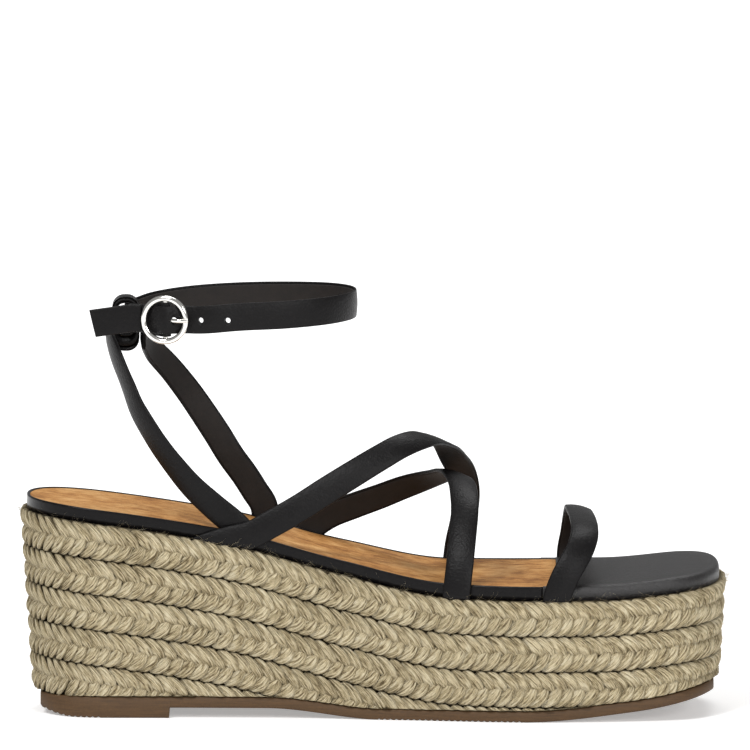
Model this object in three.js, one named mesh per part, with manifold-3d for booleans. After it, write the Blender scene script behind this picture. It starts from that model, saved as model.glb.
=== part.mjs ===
// A wedge sandal for the right foot: strappy leather upper on a braid-wrapped wedge.
// Millimetres. +X points to the toe, +Y to the inner (medial) side, +Z up.
// The origin is on the ground, under the middle of the sole.
import * as THREE from "three";
import { mergeVertices } from "three/addons/utils/BufferGeometryUtils.js";
import Module from "manifold-3d";

const wasm = await Module();
wasm.setup();

// ---- Driving dimensions ----
const LENGTH = 255; // heel to toe, over the braid
const BALL_WIDTH = 92; // widest place, over the braid
const HEEL_WIDTH = 68;
const WAIST_WIDTH = 69.5;
const TOE_WIDTH = 82;
const HEEL_SEAT_HEIGHT = 78.4; // footbed above ground at the back of the heel
const BALL_HEIGHT = 49; // footbed above ground under the ball of the foot
const TOE_HEIGHT = 53.6; // footbed above ground at the tip
const TOE_SPRING = 10.5; // how far the sole curls off the ground at the tip
const ARCH_LIFT = 3.7; // the heel block's own height, and the lift of the arch
const HEEL_BEVEL = 4.6; // rise of the block's back edge

const SOLE_THICKNESS = 4;
const SOLE_INSET = 1.1; // the braid overhangs the rubber a little
const SOLE_CHAMFER = [0.5, 0.8]; // in and up, along the sole's lower edge
const HEEL_BLOCK_FRONT = -73; // the block's breast
const BRAID_ROWS = 5;
const BRAID_PITCH = 12.9;
const BRAID_DEPTH = 5;
const BRAID_BULGE = 1.4; // the middle of a row stands out this far
const BRAID_FLAT = [0.3, 0.7]; // and is flat between these shares of its height
const BATTER = 0.067; // the wall leans in by this share of the depth below its top
const FOOTBED_EDGE = 5.1; // visible black edge above the braid
const FOOTBED_INSET = 2.8; // footbed side, inside the braid's outer line
const BINDING_THICKNESS = 1.2;
const BINDING_BEAD = 0.35; // how far the rolled edge stands above the sock
const SOCK_THICKNESS = 0.8;
const FOAM_THICKNESS = 1.9;
const BOARD_THICKNESS = 1.7;
const BINDING_CHAMFER = 0.5;
const TOE_PAD = 0.9; // the padded toe cover stands this much above the sock
const COVER_ROUND = [
  [0, 2.4],
  [0.7, 0.8],
  [2.6, 0],
]; // its rounded edge: in from the side, down from the top
const COVER_SIDE_START = 60.5; // where the cover's skirt meets the binding
const COVER_TOP_START = 66; // where the cover meets the sock
const SHANK_START = 0.27; // share of the length
const SHANK_LENGTH = 96;
const SHANK_WIDTH = 13;
const SHANK_THICKNESS = 1.5;

const STRAP_WIDTH = 10;
const STRAP_THICKNESS = 2;
const LINING_THICKNESS = 0.7;
const LINING_MARGIN = 0.5; // the lining stops this far inside the strap's edges
const STRAP_CHAMFER = [1.4, 0.5]; // in and down, along a foot strap's upper edges
const ANKLE_CHAMFER = [1.2, 0.4]; // the same on the ankle strap
const TUCK = 5; // strap depth inside the braid
const TUCK_IN = 1.8; // how far a tucked end slants in behind the braid's face
const CROWN = 19; // strap tops turn over within this height

const ANKLE_RISE = 68; // middle of the ankle strap above the footbed, at the heel
const ANKLE_LENGTH = 83; // inside the loop, rear to front
const ANKLE_WIDTH = 58;
const ANKLE_SET_BACK = 38.5; // keeper loop, forward of the heel end
const KEEPER_HEIGHT = 19.6;
const KEEPER_DEPTH = 9.8;
const KEEPER_WIDTH = 9;
const KEEPER_WALL = 1.8;
const KEEPER_FOOT = 5.8; // its foot is sewn shut this high
const KEEPER_DROP = 2.2; // it reaches further below the strap than above it
const KEEPER_FLAT = 0.6; // half of the flat stretch at its top and bottom

const BUCKLE_RADIUS = 7.75; // to the middle of the wire
const BUCKLE_WIRE = 1.05; // wire radius
const BUCKLE_FORWARD = 14.3; // buckle centre, forward of the keeper loop
const BUCKLE_OUT = 28.6; // buckle centre, outward of the middle line
const BUCKLE_LIFT = 1.9; // buckle centre above the strap's height at the heel
const BUCKLE_YAW = THREE.MathUtils.degToRad(14);
const BAR_RADIUS = 0.8;
const BAR_RECESS = 1.6; // bar, inside the ring's plane
const BAR_CLEARANCE = 0.25;
const SLEEVE_WALL = 0.9;
const PLY = 1; // one leather layer where the strap threads the buckle
const PRONG_WIDTH = 1.5;
const PRONG_HALF = 0.65;
const PRONG_PLAY = 0.15; // between the prong's eye and the bar
const PRONG_EYE_WALL = 0.845;
const PRONG_TAPER = 0.75; // the tip's share of the prong's thickness
const PRONG_HOLE = 3.4; // its hole, forward of the bar
const LUG_SIZE = 1.44; // the blocks that carry the bar's ends on the ring
const LUG_SEAT = 0.2; // how far their middles lie inside the ring's
const HOLE_PITCH = 9.5;
const HOLE_RADIUS = 1;
const HOLE_SIDES = 10;
const PUNCH_REACH = 8;
const FOLD_MARGIN = 0.3; // the folded end is this much narrower on each side
const FOLD_REACH = 4.6; // its fold runs back this far from the bar
const UNDERLAP = 1.1; // how much further in it lies than the punched end
const EYE_SLOT = [-2.1, 2.6]; // room for the prong's eye, behind and ahead of the bar
const EYE_SLOT_DEPTH = [-2.6, 2.1]; // and inside and outside it
const PRONG_SLOT = [1, 5.1]; // room for the prong itself, ahead of the bar
const TAIL_LENGTH = 18; // free end of the strap, past the buckle
const TAIL_GAP = 0.6; // where the free end begins, behind the buckle's rim
const TAIL_SLANT = THREE.MathUtils.degToRad(16);
const TAIL_CUT = [1.6, -2.2]; // the slant's middle: ahead of the free end, and up

const CLEARANCE = 0.3; // between neighbours that touch
const STRAP_CLEARANCE = 0.5; // between a strap and the edge or strap that it lies against
const PLY_GAP = 0.2; // between layers glued to each other
const RIM_PLAY = 0.75; // lets the buckle rock on its bar
const STEP = 0.1; // length of the steep face of the heel breast
const BEYOND = 30; // how far cutting shapes reach past what they cut
const BORE_OVERRUN = 1; // the same for the bar's bore
const MERGE_DISTANCE = 1e-4; // points closer than this are one
const HALF_LENGTH = LENGTH / 2;

// ---- Curves ----

// A smooth function of x through the given points, with no overshoot.
function through(points) {
  const rise = (i) => (points[i + 1][1] - points[i][1]) / (points[i + 1][0] - points[i][0]);
  const last = points.length - 1;
  const slopeAt = (i) => {
    if (i === 0) return rise(0);
    if (i === last) return rise(last - 1);
    const before = rise(i - 1);
    const after = rise(i);
    return before * after <= 0 ? 0 : (2 * before * after) / (before + after);
  };
  return (x) => {
    let i = 0;
    while (i < last - 1 && x > points[i + 1][0]) i += 1;
    const [x0, y0] = points[i];
    const [x1, y1] = points[i + 1];
    const t = THREE.MathUtils.clamp((x - x0) / (x1 - x0), 0, 1);
    const run = x1 - x0;
    return (
      y0 * (1 + 2 * t) * (1 - t) ** 2 +
      slopeAt(i) * run * t * (1 - t) ** 2 +
      y1 * t * t * (3 - 2 * t) -
      slopeAt(i + 1) * run * t * t * (1 - t)
    );
  };
}

// x at a share of the length, from the heel (0) to the toe (1).
const along = (share) => (share - 0.5) * LENGTH;

// Height of the footbed's upper surface.
const climb = (share) => BALL_HEIGHT + share * (HEEL_SEAT_HEIGHT - BALL_HEIGHT);
const footbedTop = through([
  [-HALF_LENGTH, HEEL_SEAT_HEIGHT],
  [along(0.05), climb(0.96)],
  [along(0.29), climb(0.66)],
  [along(0.455), climb(0.29)],
  [along(0.61), climb(0.025)],
  [along(0.72), BALL_HEIGHT],
  [along(0.82), BALL_HEIGHT + 0.1],
  [along(0.935), BALL_HEIGHT + 0.6 * (TOE_HEIGHT - BALL_HEIGHT)],
  [HALF_LENGTH, TOE_HEIGHT],
]);
const braidTop = (x) => footbedTop(x) - FOOTBED_EDGE;

// Underside of the outsole: heel block, raised arch, ball, then toe spring.
const soleCurl = through([
  [-HALF_LENGTH, HEEL_BEVEL],
  [along(0.08), 0],
  [along(0.71), 0],
  [along(0.87), 0.36 * TOE_SPRING],
  [HALF_LENGTH, TOE_SPRING],
]);
const archLift = through([
  [HEEL_BLOCK_FRONT, ARCH_LIFT],
  [along(0.35), ARCH_LIFT],
  [along(0.51), 0],
  [HALF_LENGTH, 0],
]);
const soleBottom = (x) => soleCurl(x) + (x > HEEL_BLOCK_FRONT ? archLift(x) : 0);
const soleTop = (x) =>
  SOLE_THICKNESS + soleCurl(x) * (x > 0 ? 1 : 0) + archLift(Math.max(x, HEEL_BLOCK_FRONT));

// Half widths of the outer line, on the outer (lateral) and inner (medial) sides.
const BALL_X = along(0.727);
const sideLine = (waistShare, toeShare) =>
  through([
    [-HALF_LENGTH, HEEL_WIDTH / 2],
    [along(0.13), HEEL_WIDTH / 2],
    [along(0.4), (WAIST_WIDTH / 2) * waistShare],
    [along(0.54), (WAIST_WIDTH / 2) * waistShare + 0.18 * (BALL_WIDTH - WAIST_WIDTH)],
    [BALL_X, BALL_WIDTH / 2],
    [along(0.86), (BALL_WIDTH + (TOE_WIDTH - BALL_WIDTH) * 0.25) / 2],
    [HALF_LENGTH, (TOE_WIDTH / 2) * toeShare],
  ]);
const WAIST_SKEW = 0.02; // the waist is fuller on the outer side
const TOE_SKEW = 0.03; // and the toe on the inner side
const lateralLine = sideLine(1 + WAIST_SKEW, 1 - TOE_SKEW);
const medialLine = sideLine(1 - WAIST_SKEW, 1 + TOE_SKEW);

// Share of the full width left at a distance from a rounded end.
function roundedEnd(distance, radius, squareness) {
  if (distance >= radius) return 1;
  return (1 - (1 - distance / radius) ** squareness) ** (1 / squareness);
}
const HEEL_ROUND = 34;
const TOE_ROUND = 25;
const HEEL_SQUARENESS = 2.3;
const TOE_SQUARENESS = 2.7;
function halfWidth(x, side) {
  const full = side < 0 ? lateralLine(x) : medialLine(x);
  const heel = roundedEnd(x + HALF_LENGTH, HEEL_ROUND, HEEL_SQUARENESS);
  const toe = roundedEnd(HALF_LENGTH - x, TOE_ROUND, TOE_SQUARENESS);
  return full * heel * toe;
}

// Stations along the sole: close together round the ends.
const END_STEPS = 7;
const END_OFFSET = 0.35; // share of a step by which the first one is short
const END_TRIM = 0.02; // the outermost stations lie this far inside the ends
const MIDDLE_STEPS = 15;
const LEAST_SPACING = 3;
function stationList() {
  const list = [
    HEEL_BLOCK_FRONT,
    HEEL_BLOCK_FRONT + STEP,
    COVER_SIDE_START,
    COVER_TOP_START,
    BALL_X,
  ];
  const endAt = (i, radius) => {
    const turn = (Math.PI / 2) * ((i + END_OFFSET) / (END_STEPS + END_OFFSET));
    return HALF_LENGTH - radius * (1 - Math.cos(turn));
  };
  for (let i = 0; i <= END_STEPS; i += 1) {
    list.push(-endAt(i, HEEL_ROUND), endAt(i, TOE_ROUND));
  }
  list.push(-HALF_LENGTH + END_TRIM, HALF_LENGTH - END_TRIM);
  const from = -HALF_LENGTH + HEEL_ROUND;
  const to = HALF_LENGTH - TOE_ROUND;
  for (let i = 1; i < MIDDLE_STEPS; i += 1) {
    const x = from + ((to - from) * i) / MIDDLE_STEPS;
    if (list.every((other) => Math.abs(other - x) > LEAST_SPACING)) list.push(x);
  }
  return list.sort((a, b) => a - b);
}
const STATIONS = stationList();

// The outer line as a closed loop: lateral side heel to toe, medial side back.
function outerLoop() {
  const lateral = STATIONS.map((x) => new THREE.Vector2(x, -halfWidth(x, -1)));
  const medial = STATIONS.map((x) => new THREE.Vector2(x, halfWidth(x, 1)));
  const points = [...lateral, ...medial.reverse()];
  return points.map((point, i) => {
    const before = points[(i + points.length - 1) % points.length];
    const after = points[(i + 1) % points.length];
    const ahead = after.clone().sub(before).normalize();
    return { point, inward: new THREE.Vector2(-ahead.y, ahead.x) };
  });
}
const LOOP = outerLoop();

// A point of the loop moved in by an inset, at the height of the place it lands on.
function loopPoint(i, inset, heightAt) {
  const { point, inward } = LOOP[i];
  const moved = point.clone().addScaledVector(inward, inset);
  return new THREE.Vector3(moved.x, moved.y, heightAt(moved.x));
}

// ---- Solids ----

// Turns a geometry's faces round if they point inwards.
function facingOut(geometry) {
  const p = geometry.getAttribute("position");
  const index = geometry.getIndex().array;
  const at = (i) => new THREE.Vector3().fromBufferAttribute(p, index[i]);
  let volume = 0;
  for (let i = 0; i < index.length; i += 3) {
    volume += at(i).dot(at(i + 1).cross(at(i + 2)));
  }
  if (volume < 0) index.reverse();
  geometry.computeVertexNormals();
  return geometry;
}

// Triangles that close a ring like the rungs of a ladder, from both of its sides.
function capFaces(count) {
  const faces = [];
  for (let low = 0, high = count - 1; high - low > 1; low += 1, high -= 1) {
    faces.push([low, low + 1, high]);
    if (high - low > 2) faces.push([low + 1, high - 1, high]);
  }
  return faces;
}

// Skins a row of rings that have the same number of points. closed joins last to first.
function skin(rings, closed = false) {
  const count = rings[0].length;
  const positions = rings.flat().flatMap((p) => [p.x, p.y, p.z]);
  const index = [];
  const spans = closed ? rings.length : rings.length - 1;
  for (let r = 0; r < spans; r += 1) {
    const here = r * count;
    const next = ((r + 1) % rings.length) * count;
    for (let i = 0; i < count; i += 1) {
      const j = (i + 1) % count;
      index.push(here + i, here + j, next + j, here + i, next + j, next + i);
    }
  }
  const end = (rings.length - 1) * count;
  for (const [a, b, c] of closed ? [] : capFaces(count)) {
    index.push(a, c, b, end + a, end + b, end + c);
  }
  const geometry = new THREE.BufferGeometry();
  geometry.setAttribute("position", new THREE.Float32BufferAttribute(positions, 3));
  geometry.setIndex(new THREE.BufferAttribute(new Uint32Array(index), 1));
  return facingOut(geometry);
}

function toSolid(geometry) {
  const bare = geometry.clone();
  bare.deleteAttribute("normal");
  bare.deleteAttribute("uv");
  const merged = mergeVertices(bare, MERGE_DISTANCE);
  return new wasm.Manifold(
    new wasm.Mesh({
      numProp: 3,
      vertProperties: merged.attributes.position.array,
      triVerts: new Uint32Array(merged.index.array),
    }),
  );
}

function toGeometry(solid) {
  const mesh = solid.getMesh();
  const geometry = new THREE.BufferGeometry();
  geometry.setAttribute("position", new THREE.BufferAttribute(mesh.vertProperties, 3));
  geometry.setIndex(new THREE.BufferAttribute(mesh.triVerts, 1));
  geometry.computeVertexNormals();
  return geometry;
}

function cut(geometry, ...tools) {
  const left = tools.reduce((solid, tool) => solid.subtract(toSolid(tool)), toSolid(geometry));
  return toGeometry(left);
}

function keepInside(geometry, region) {
  return toGeometry(toSolid(geometry).intersect(toSolid(region)));
}

function join(...geometries) {
  const [first, ...rest] = geometries.map(toSolid);
  return toGeometry(rest.reduce((solid, other) => solid.add(other), first));
}

// A layer of the sole between two heights. Each corner is [inset, heightAt], listed up one side.
function layer(corners, from = -Infinity, to = Infinity) {
  const rings = [];
  STATIONS.forEach((x, i) => {
    if (x < from || x > to) return;
    const mirror = LOOP.length - 1 - i;
    const lateral = corners.map(([inset, height]) => loopPoint(i, inset, height));
    const medial = corners.map(([inset, height]) => loopPoint(mirror, inset, height));
    rings.push([...lateral, ...medial.reverse()]);
  });
  return skin(rings);
}

const lowered = (heightAt, drop) => (x) => heightAt(x) - drop;

// ---- Sole ----

const wallDepth = (x) => braidTop(x) - soleTop(x);

// A solid that leans in with the wall, so its inset grows with the depth at each station.
function leaningLayer(inset, bottomAt, topAt) {
  const rings = STATIONS.map((x, i) => {
    const mirror = LOOP.length - 1 - i;
    const low = inset + BATTER * (braidTop(x) - bottomAt(x));
    const high = inset + BATTER * (braidTop(x) - topAt(x));
    return [
      loopPoint(i, low, bottomAt),
      loopPoint(i, high, topAt),
      loopPoint(mirror, high, topAt),
      loopPoint(mirror, low, bottomAt),
    ];
  });
  return skin(rings);
}

function outsole() {
  const [chamferIn, chamferUp] = SOLE_CHAMFER;
  const aboveChamfer = lowered(soleBottom, -chamferUp);
  const rings = STATIONS.map((x, i) => {
    const mirror = LOOP.length - 1 - i;
    const inset = SOLE_INSET + BATTER * wallDepth(x);
    return [
      loopPoint(i, inset + chamferIn, soleBottom),
      loopPoint(i, inset, aboveChamfer),
      loopPoint(i, inset, soleTop),
      loopPoint(mirror, inset, soleTop),
      loopPoint(mirror, inset, aboveChamfer),
      loopPoint(mirror, inset + chamferIn, soleBottom),
    ];
  });
  return skin(rings);
}

// Everything from far below up to just above the outsole: what the braid must keep off.
function soleRoom() {
  const inset = -BRAID_DEPTH - CLEARANCE;
  return layer([
    [inset, () => -BEYOND],
    [inset, lowered(soleTop, -CLEARANCE)],
  ]);
}

function shankHeight(x) {
  return braidTop(x) - CLEARANCE - SHANK_THICKNESS;
}

// The stiffening strip, or with grow the open-topped room that it lies in.
function shank(grow = 0) {
  const start = along(SHANK_START) - grow;
  const steps = 10;
  const rings = [];
  for (let i = 0; i <= steps; i += 1) {
    const x = start + ((SHANK_LENGTH + 2 * grow) * i) / steps;
    const low = shankHeight(x) - grow;
    const high = shankHeight(x) + SHANK_THICKNESS + (grow > 0 ? BEYOND : 0);
    const half = SHANK_WIDTH / 2 + grow;
    rings.push([
      new THREE.Vector3(x, -half, low),
      new THREE.Vector3(x, half, low),
      new THREE.Vector3(x, half, high),
      new THREE.Vector3(x, -half, high),
    ]);
  }
  return skin(rings);
}

function wedgeCore() {
  const inset = BRAID_DEPTH + CLEARANCE;
  return cut(leaningLayer(inset, lowered(soleTop, -CLEARANCE), braidTop), shank(CLEARANCE));
}

// One row of braid: a closed band round the wall with a bulging face.
function braidRow(row) {
  const top = row * BRAID_PITCH;
  const height = BRAID_PITCH - CLEARANCE;
  const [flatFrom, flatTo] = BRAID_FLAT;
  const profile = [
    [BRAID_DEPTH, 0],
    [BRAID_BULGE, 0],
    [0, flatFrom],
    [0, flatTo],
    [BRAID_BULGE, 1],
    [BRAID_DEPTH, 1],
  ];
  const rings = LOOP.map((_, i) =>
    profile.map(([inset, down]) => {
      const depth = top + down * height;
      return loopPoint(i, inset + BATTER * depth, lowered(braidTop, depth));
    }),
  );
  return skin(rings, true);
}

// ---- Footbed ----

const INNER_INSET = FOOTBED_INSET + BINDING_THICKNESS + CLEARANCE;
const boardBottom = lowered(braidTop, -CLEARANCE);
const boardTop = lowered(boardBottom, -BOARD_THICKNESS);
const foamBottom = lowered(boardTop, -PLY_GAP);
const foamTop = lowered(foamBottom, -FOAM_THICKNESS);
const sockBottom = lowered(foamTop, -PLY_GAP);
const sockTop = lowered(sockBottom, -SOCK_THICKNESS);

function slab(bottomAt, topAt, { inset = INNER_INSET, to = Infinity } = {}) {
  const corners = [
    [inset, bottomAt],
    [inset, topAt],
  ];
  return layer(corners, -Infinity, to);
}

// The black edge band, from the cover on one side round the heel to the other side.
function binding() {
  const count = STATIONS.filter((x) => x <= COVER_SIDE_START).length - 1;
  const order = [];
  for (let i = count; i >= 0; i -= 1) order.push(i);
  for (let i = LOOP.length - 1; i >= LOOP.length - 1 - count; i -= 1) order.push(i);
  const outer = FOOTBED_INSET;
  const inner = FOOTBED_INSET + BINDING_THICKNESS;
  const top = lowered(sockTop, -BINDING_BEAD);
  const rings = order.map((i) => [
    loopPoint(i, outer, boardBottom),
    loopPoint(i, outer, lowered(top, BINDING_CHAMFER)),
    loopPoint(i, (outer + inner) / 2, top),
    loopPoint(i, inner, lowered(top, BINDING_CHAMFER)),
    loopPoint(i, inner, boardBottom),
  ]);
  return keepInside(skin(rings), allBehind(COVER_SIDE_START + CLEARANCE / 2));
}

// A padded cap over the front of the footbed, with a skirt down its side.
function toeCover() {
  const top = lowered(sockTop, -TOE_PAD);
  const corners = [
    [FOOTBED_INSET, boardBottom],
    ...COVER_ROUND.map(([inwards, down]) => [FOOTBED_INSET + inwards, lowered(top, down)]),
  ];
  const inset = INNER_INSET - CLEARANCE;
  const bottom = lowered(boardBottom, BEYOND);
  const stack = slab(bottom, lowered(foamTop, -PLY_GAP), { inset });
  const sockPlace = slab(bottom, lowered(top, -BEYOND), { inset });
  const overSock = keepInside(sockPlace, allBehind(COVER_TOP_START + CLEARANCE));
  const behind = allBehind(COVER_SIDE_START + CLEARANCE);
  return cut(layer(corners, COVER_SIDE_START), stack, behind, overSock);
}

// A block that holds everything towards the heel from x.
function allBehind(x) {
  return block([-LENGTH, x], [-LENGTH, LENGTH], [-BEYOND, LENGTH]);
}

function block([x0, x1], [y0, y1], [z0, z1]) {
  const box = new THREE.BoxGeometry(x1 - x0, y1 - y0, z1 - z0);
  box.translate((x0 + x1) / 2, (y0 + y1) / 2, (z0 + z1) / 2);
  return box;
}

// ---- Straps ----

// A place on the foot: share of the length, side (-1 lateral edge, 1 medial edge), rise above
// the footbed, and a shift towards the middle line.
function onFoot([share, side, rise, shift = 0]) {
  const x = along(share);
  const reach = halfWidth(x, side) - FOOTBED_INSET + STRAP_CLEARANCE + STRAP_THICKNESS / 2;
  const y = side * reach - Math.sign(side) * shift;
  return new THREE.Vector3(x, y, footbedTop(x) + rise);
}

// Sweeps a section, given as [across, outward] points, along a path.
function sweep(path, steps, outwardAt, section) {
  const curve = new THREE.CatmullRomCurve3(path, false, "centripetal");
  const spots = curve.getSpacedPoints(steps);
  const rings = spots.map((spot, i) => {
    const before = spots[Math.max(i - 1, 0)];
    const after = spots[Math.min(i + 1, steps)];
    const ahead = after.clone().sub(before).normalize();
    const out = outwardAt(spot, ahead).clone();
    out.addScaledVector(ahead, -out.dot(ahead)).normalize();
    const across = new THREE.Vector3().crossVectors(ahead, out);
    return section.map(([u, v]) =>
      spot.clone().addScaledVector(across, u).addScaledVector(out, v),
    );
  });
  return skin(rings);
}

// Outer leather, lining, and the room that the whole strap takes, as sections.
const HALF_STRAP = STRAP_WIDTH / 2;
const OUT = STRAP_THICKNESS / 2;
const LINING_TOP = -OUT + LINING_THICKNESS;
const chamferedTop = (top, [inwards, down]) => [
  [HALF_STRAP, top - down],
  [HALF_STRAP - inwards, top],
  [-HALF_STRAP + inwards, top],
  [-HALF_STRAP, top - down],
];
const leatherSection = [
  [-HALF_STRAP, LINING_TOP + PLY_GAP],
  [HALF_STRAP, LINING_TOP + PLY_GAP],
  ...chamferedTop(OUT, STRAP_CHAMFER),
];
const liningSection = [
  [-HALF_STRAP + LINING_MARGIN, -OUT],
  [-HALF_STRAP + LINING_MARGIN, LINING_TOP],
  [HALF_STRAP - LINING_MARGIN, LINING_TOP],
  [HALF_STRAP - LINING_MARGIN, -OUT],
];
const roomSection = [
  [-HALF_STRAP - CLEARANCE, -OUT - CLEARANCE],
  [HALF_STRAP + CLEARANCE, -OUT - CLEARANCE],
  [HALF_STRAP + CLEARANCE, OUT + CLEARANCE],
  [-HALF_STRAP - CLEARANCE, OUT + CLEARANCE],
];

// The direction out of the shoe at its outer line.
function edgeOutward(x, side) {
  const slope = (halfWidth(x + 1, side) - halfWidth(x - 1, side)) / 2;
  return new THREE.Vector3(-slope, side, 0).normalize();
}

// Over the foot, a strap faces away from a line below its own top.
function awayFromFoot(path) {
  const top = Math.max(...path.map((p) => p.z));
  return (spot) => {
    const out = edgeOutward(spot.x, Math.sign(spot.y)).multiplyScalar(Math.abs(spot.y));
    out.z = Math.max(0, spot.z - top + CROWN);
    return out;
  };
}

// Round the heel, a strap faces away from an upright line at a share of the length.
function awayFromHeel(share) {
  return (spot) => new THREE.Vector3(Math.min(0, spot.x - along(share)), spot.y, 0);
}

// Where a strap may be: above its tucked end in the braid.
const aboveTuck = layer([
  [-BEYOND, lowered(braidTop, TUCK)],
  [-BEYOND, () => 2 * LENGTH],
]);
// Where a strap that stops on the footbed's rolled edge may be.
const aboveBinding = layer([
  [-BEYOND, lowered(sockTop, -BINDING_BEAD - CLEARANCE)],
  [-BEYOND, () => 2 * LENGTH],
]);

const upperCrossPath = [
  [0.222, -1, -14.5, TUCK_IN],
  [0.257, -1, -8.4],
  [0.294, -1, -3.5],
  [0.328, -1, 0.6],
  [0.354, -1, 5.9],
  [0.396, -0.97, 15],
  [0.436, -0.9, 24.2],
  [0.476, -0.81, 32.8],
  [0.51, -0.7, 39.9],
  [0.539, -0.58, 45.4],
  [0.568, -0.37, 48.6],
  [0.586, -0.12, 48],
  [0.602, 0.12, 45],
  [0.614, 0.35, 39.5],
  [0.627, 0.57, 32.6],
  [0.632, 0.71, 25.1],
  [0.628, 0.87, 14.6],
  [0.621, 0.985, 5.4],
  [0.617, 1, -3.6],
  [0.616, 1, -11.5, TUCK_IN],
].map(onFoot);

const lowerCrossPath = [
  [0.392, 1, -12.6, TUCK_IN],
  [0.399, 1, -4.6],
  [0.414, 1, 1.7],
  [0.438, 0.97, 7.6],
  [0.473, 0.9, 13.4],
  [0.51, 0.81, 19.4],
  [0.539, 0.71, 24.4],
  [0.567, 0.58, 28.8],
  [0.59, 0.4, 32.3],
  [0.606, 0.19, 34.9],
  [0.617, -0.05, 35.2],
  [0.625, -0.26, 33.8],
  [0.628, -0.47, 30.6],
  [0.629, -0.65, 25.6],
  [0.626, -0.82, 17.5],
  [0.622, -0.95, 7.9],
  [0.617, -1, -3.6],
  [0.615, -1, -11.5, TUCK_IN],
].map(onFoot);

const toePath = [
  [0.757, -1, -11.5, TUCK_IN],
  [0.759, -1, -3.6],
  [0.769, -1, 3.5],
  [0.78, -0.975, 8.6],
  [0.79, -0.92, 12.8],
  [0.797, -0.82, 17.2],
  [0.798, -0.66, 20.3],
  [0.796, -0.35, 21.9],
  [0.793, 0, 22.2],
  [0.791, 0.35, 21.6],
  [0.79, 0.66, 19.6],
  [0.788, 0.82, 15.2],
  [0.785, 0.94, 9],
  [0.781, 1, 3],
  [0.78, 1, -4],
  [0.78, 1, -11.5, TUCK_IN],
].map(onFoot);

// ---- Keeper loop and heel straps ----

const KEEPER_X = -HALF_LENGTH + ANKLE_SET_BACK;
const ANKLE_Z = footbedTop(KEEPER_X) + ANKLE_RISE;
const KEEPER_Z = ANKLE_Z - KEEPER_DROP;

// An upright rounded rectangle, with its middle at a height.
function roundedOutline(target, halfX, halfZ, radius, middle = 0) {
  const low = middle - halfZ;
  const high = middle + halfZ;
  target.moveTo(-halfX + radius, low);
  target.lineTo(halfX - radius, low);
  target.absarc(halfX - radius, low + radius, radius, -Math.PI / 2, 0);
  target.lineTo(halfX, high - radius);
  target.absarc(halfX - radius, high - radius, radius, 0, Math.PI / 2);
  target.lineTo(-halfX + radius, high);
  target.absarc(-halfX + radius, high - radius, radius, Math.PI / 2, Math.PI);
  target.lineTo(-halfX, low + radius);
  target.absarc(-halfX + radius, low + radius, radius, Math.PI, 1.5 * Math.PI);
  target.closePath();
  return target;
}

const KEEPER_CURVE_STEPS = 4;

function keeperLoop() {
  const halfX = KEEPER_DEPTH / 2;
  const halfZ = KEEPER_HEIGHT / 2;
  const radius = halfX - KEEPER_FLAT;
  const outline = roundedOutline(new THREE.Shape(), halfX, halfZ, radius);
  const innerX = halfX - KEEPER_WALL;
  const innerZ = halfZ - (KEEPER_WALL + KEEPER_FOOT) / 2;
  const lift = (KEEPER_FOOT - KEEPER_WALL) / 2;
  const hole = new THREE.Path();
  outline.holes.push(roundedOutline(hole, innerX, innerZ, radius - KEEPER_WALL, lift));
  const settings = {
    depth: KEEPER_WIDTH,
    bevelEnabled: false,
    curveSegments: KEEPER_CURVE_STEPS,
  };
  const geometry = new THREE.ExtrudeGeometry(outline, settings);
  geometry.rotateX(Math.PI / 2);
  geometry.translate(KEEPER_X, KEEPER_WIDTH / 2, KEEPER_Z);
  return geometry;
}

// A place beside the keeper: steps back from it, across and up from its middle.
const nearKeeper = (x, y, z) => new THREE.Vector3(KEEPER_X + x, y, KEEPER_Z + z);
const KEEPER_SEAT = KEEPER_DEPTH / 2 + CLEARANCE + STRAP_THICKNESS / 2;
const UNDER_CROSS_STRAP = STRAP_THICKNESS + STRAP_CLEARANCE;

const lateralHeelPath = [
  ...[
    [0.331, -1, -5, UNDER_CROSS_STRAP],
    [0.318, -1, -0.3, UNDER_CROSS_STRAP],
    [0.305, -1, 2.7, UNDER_CROSS_STRAP],
    [0.275, -0.97, 7.6, UNDER_CROSS_STRAP],
    [0.245, -0.96, 13.3, UNDER_CROSS_STRAP],
    [0.221, -0.94, 19.4, UNDER_CROSS_STRAP],
    [0.2, -0.92, 25.6, UNDER_CROSS_STRAP],
    [0.182, -0.87, 31.9, UNDER_CROSS_STRAP],
    [0.166, -0.78, 38.2, UNDER_CROSS_STRAP],
    [0.155, -0.68, 44.6, UNDER_CROSS_STRAP],
  ].map(onFoot),
  nearKeeper(-KEEPER_SEAT + 3.6, -16, -12.8),
  nearKeeper(-KEEPER_SEAT + 1.3, -10.5, -7.5),
  nearKeeper(-KEEPER_SEAT, -4.3, -4),
  nearKeeper(-KEEPER_SEAT, 2, -2.2),
];

const medialHeelPath = [
  ...[
    [0.348, 1, -12, TUCK_IN],
    [0.348, 1, -3.8],
    [0.345, 1, 4.5],
    [0.332, 0.99, 9.2],
    [0.318, 0.98, 14],
    [0.298, 0.96, 20],
    [0.279, 0.94, 27],
    [0.259, 0.9, 34],
    [0.238, 0.85, 41],
    [0.213, 0.74, 48.5],
  ].map(onFoot),
  nearKeeper(9.2, 17, -11.6),
  nearKeeper(KEEPER_SEAT + 1, 10.5, -8),
  nearKeeper(KEEPER_SEAT, 4.3, -5.6),
  nearKeeper(KEEPER_SEAT, -2.5, -4.6),
];

// ---- Buckle and ankle strap ----

const BUCKLE_CENTRE = new THREE.Vector3(
  KEEPER_X + BUCKLE_FORWARD,
  -BUCKLE_OUT,
  ANKLE_Z + BUCKLE_LIFT,
);
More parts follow.
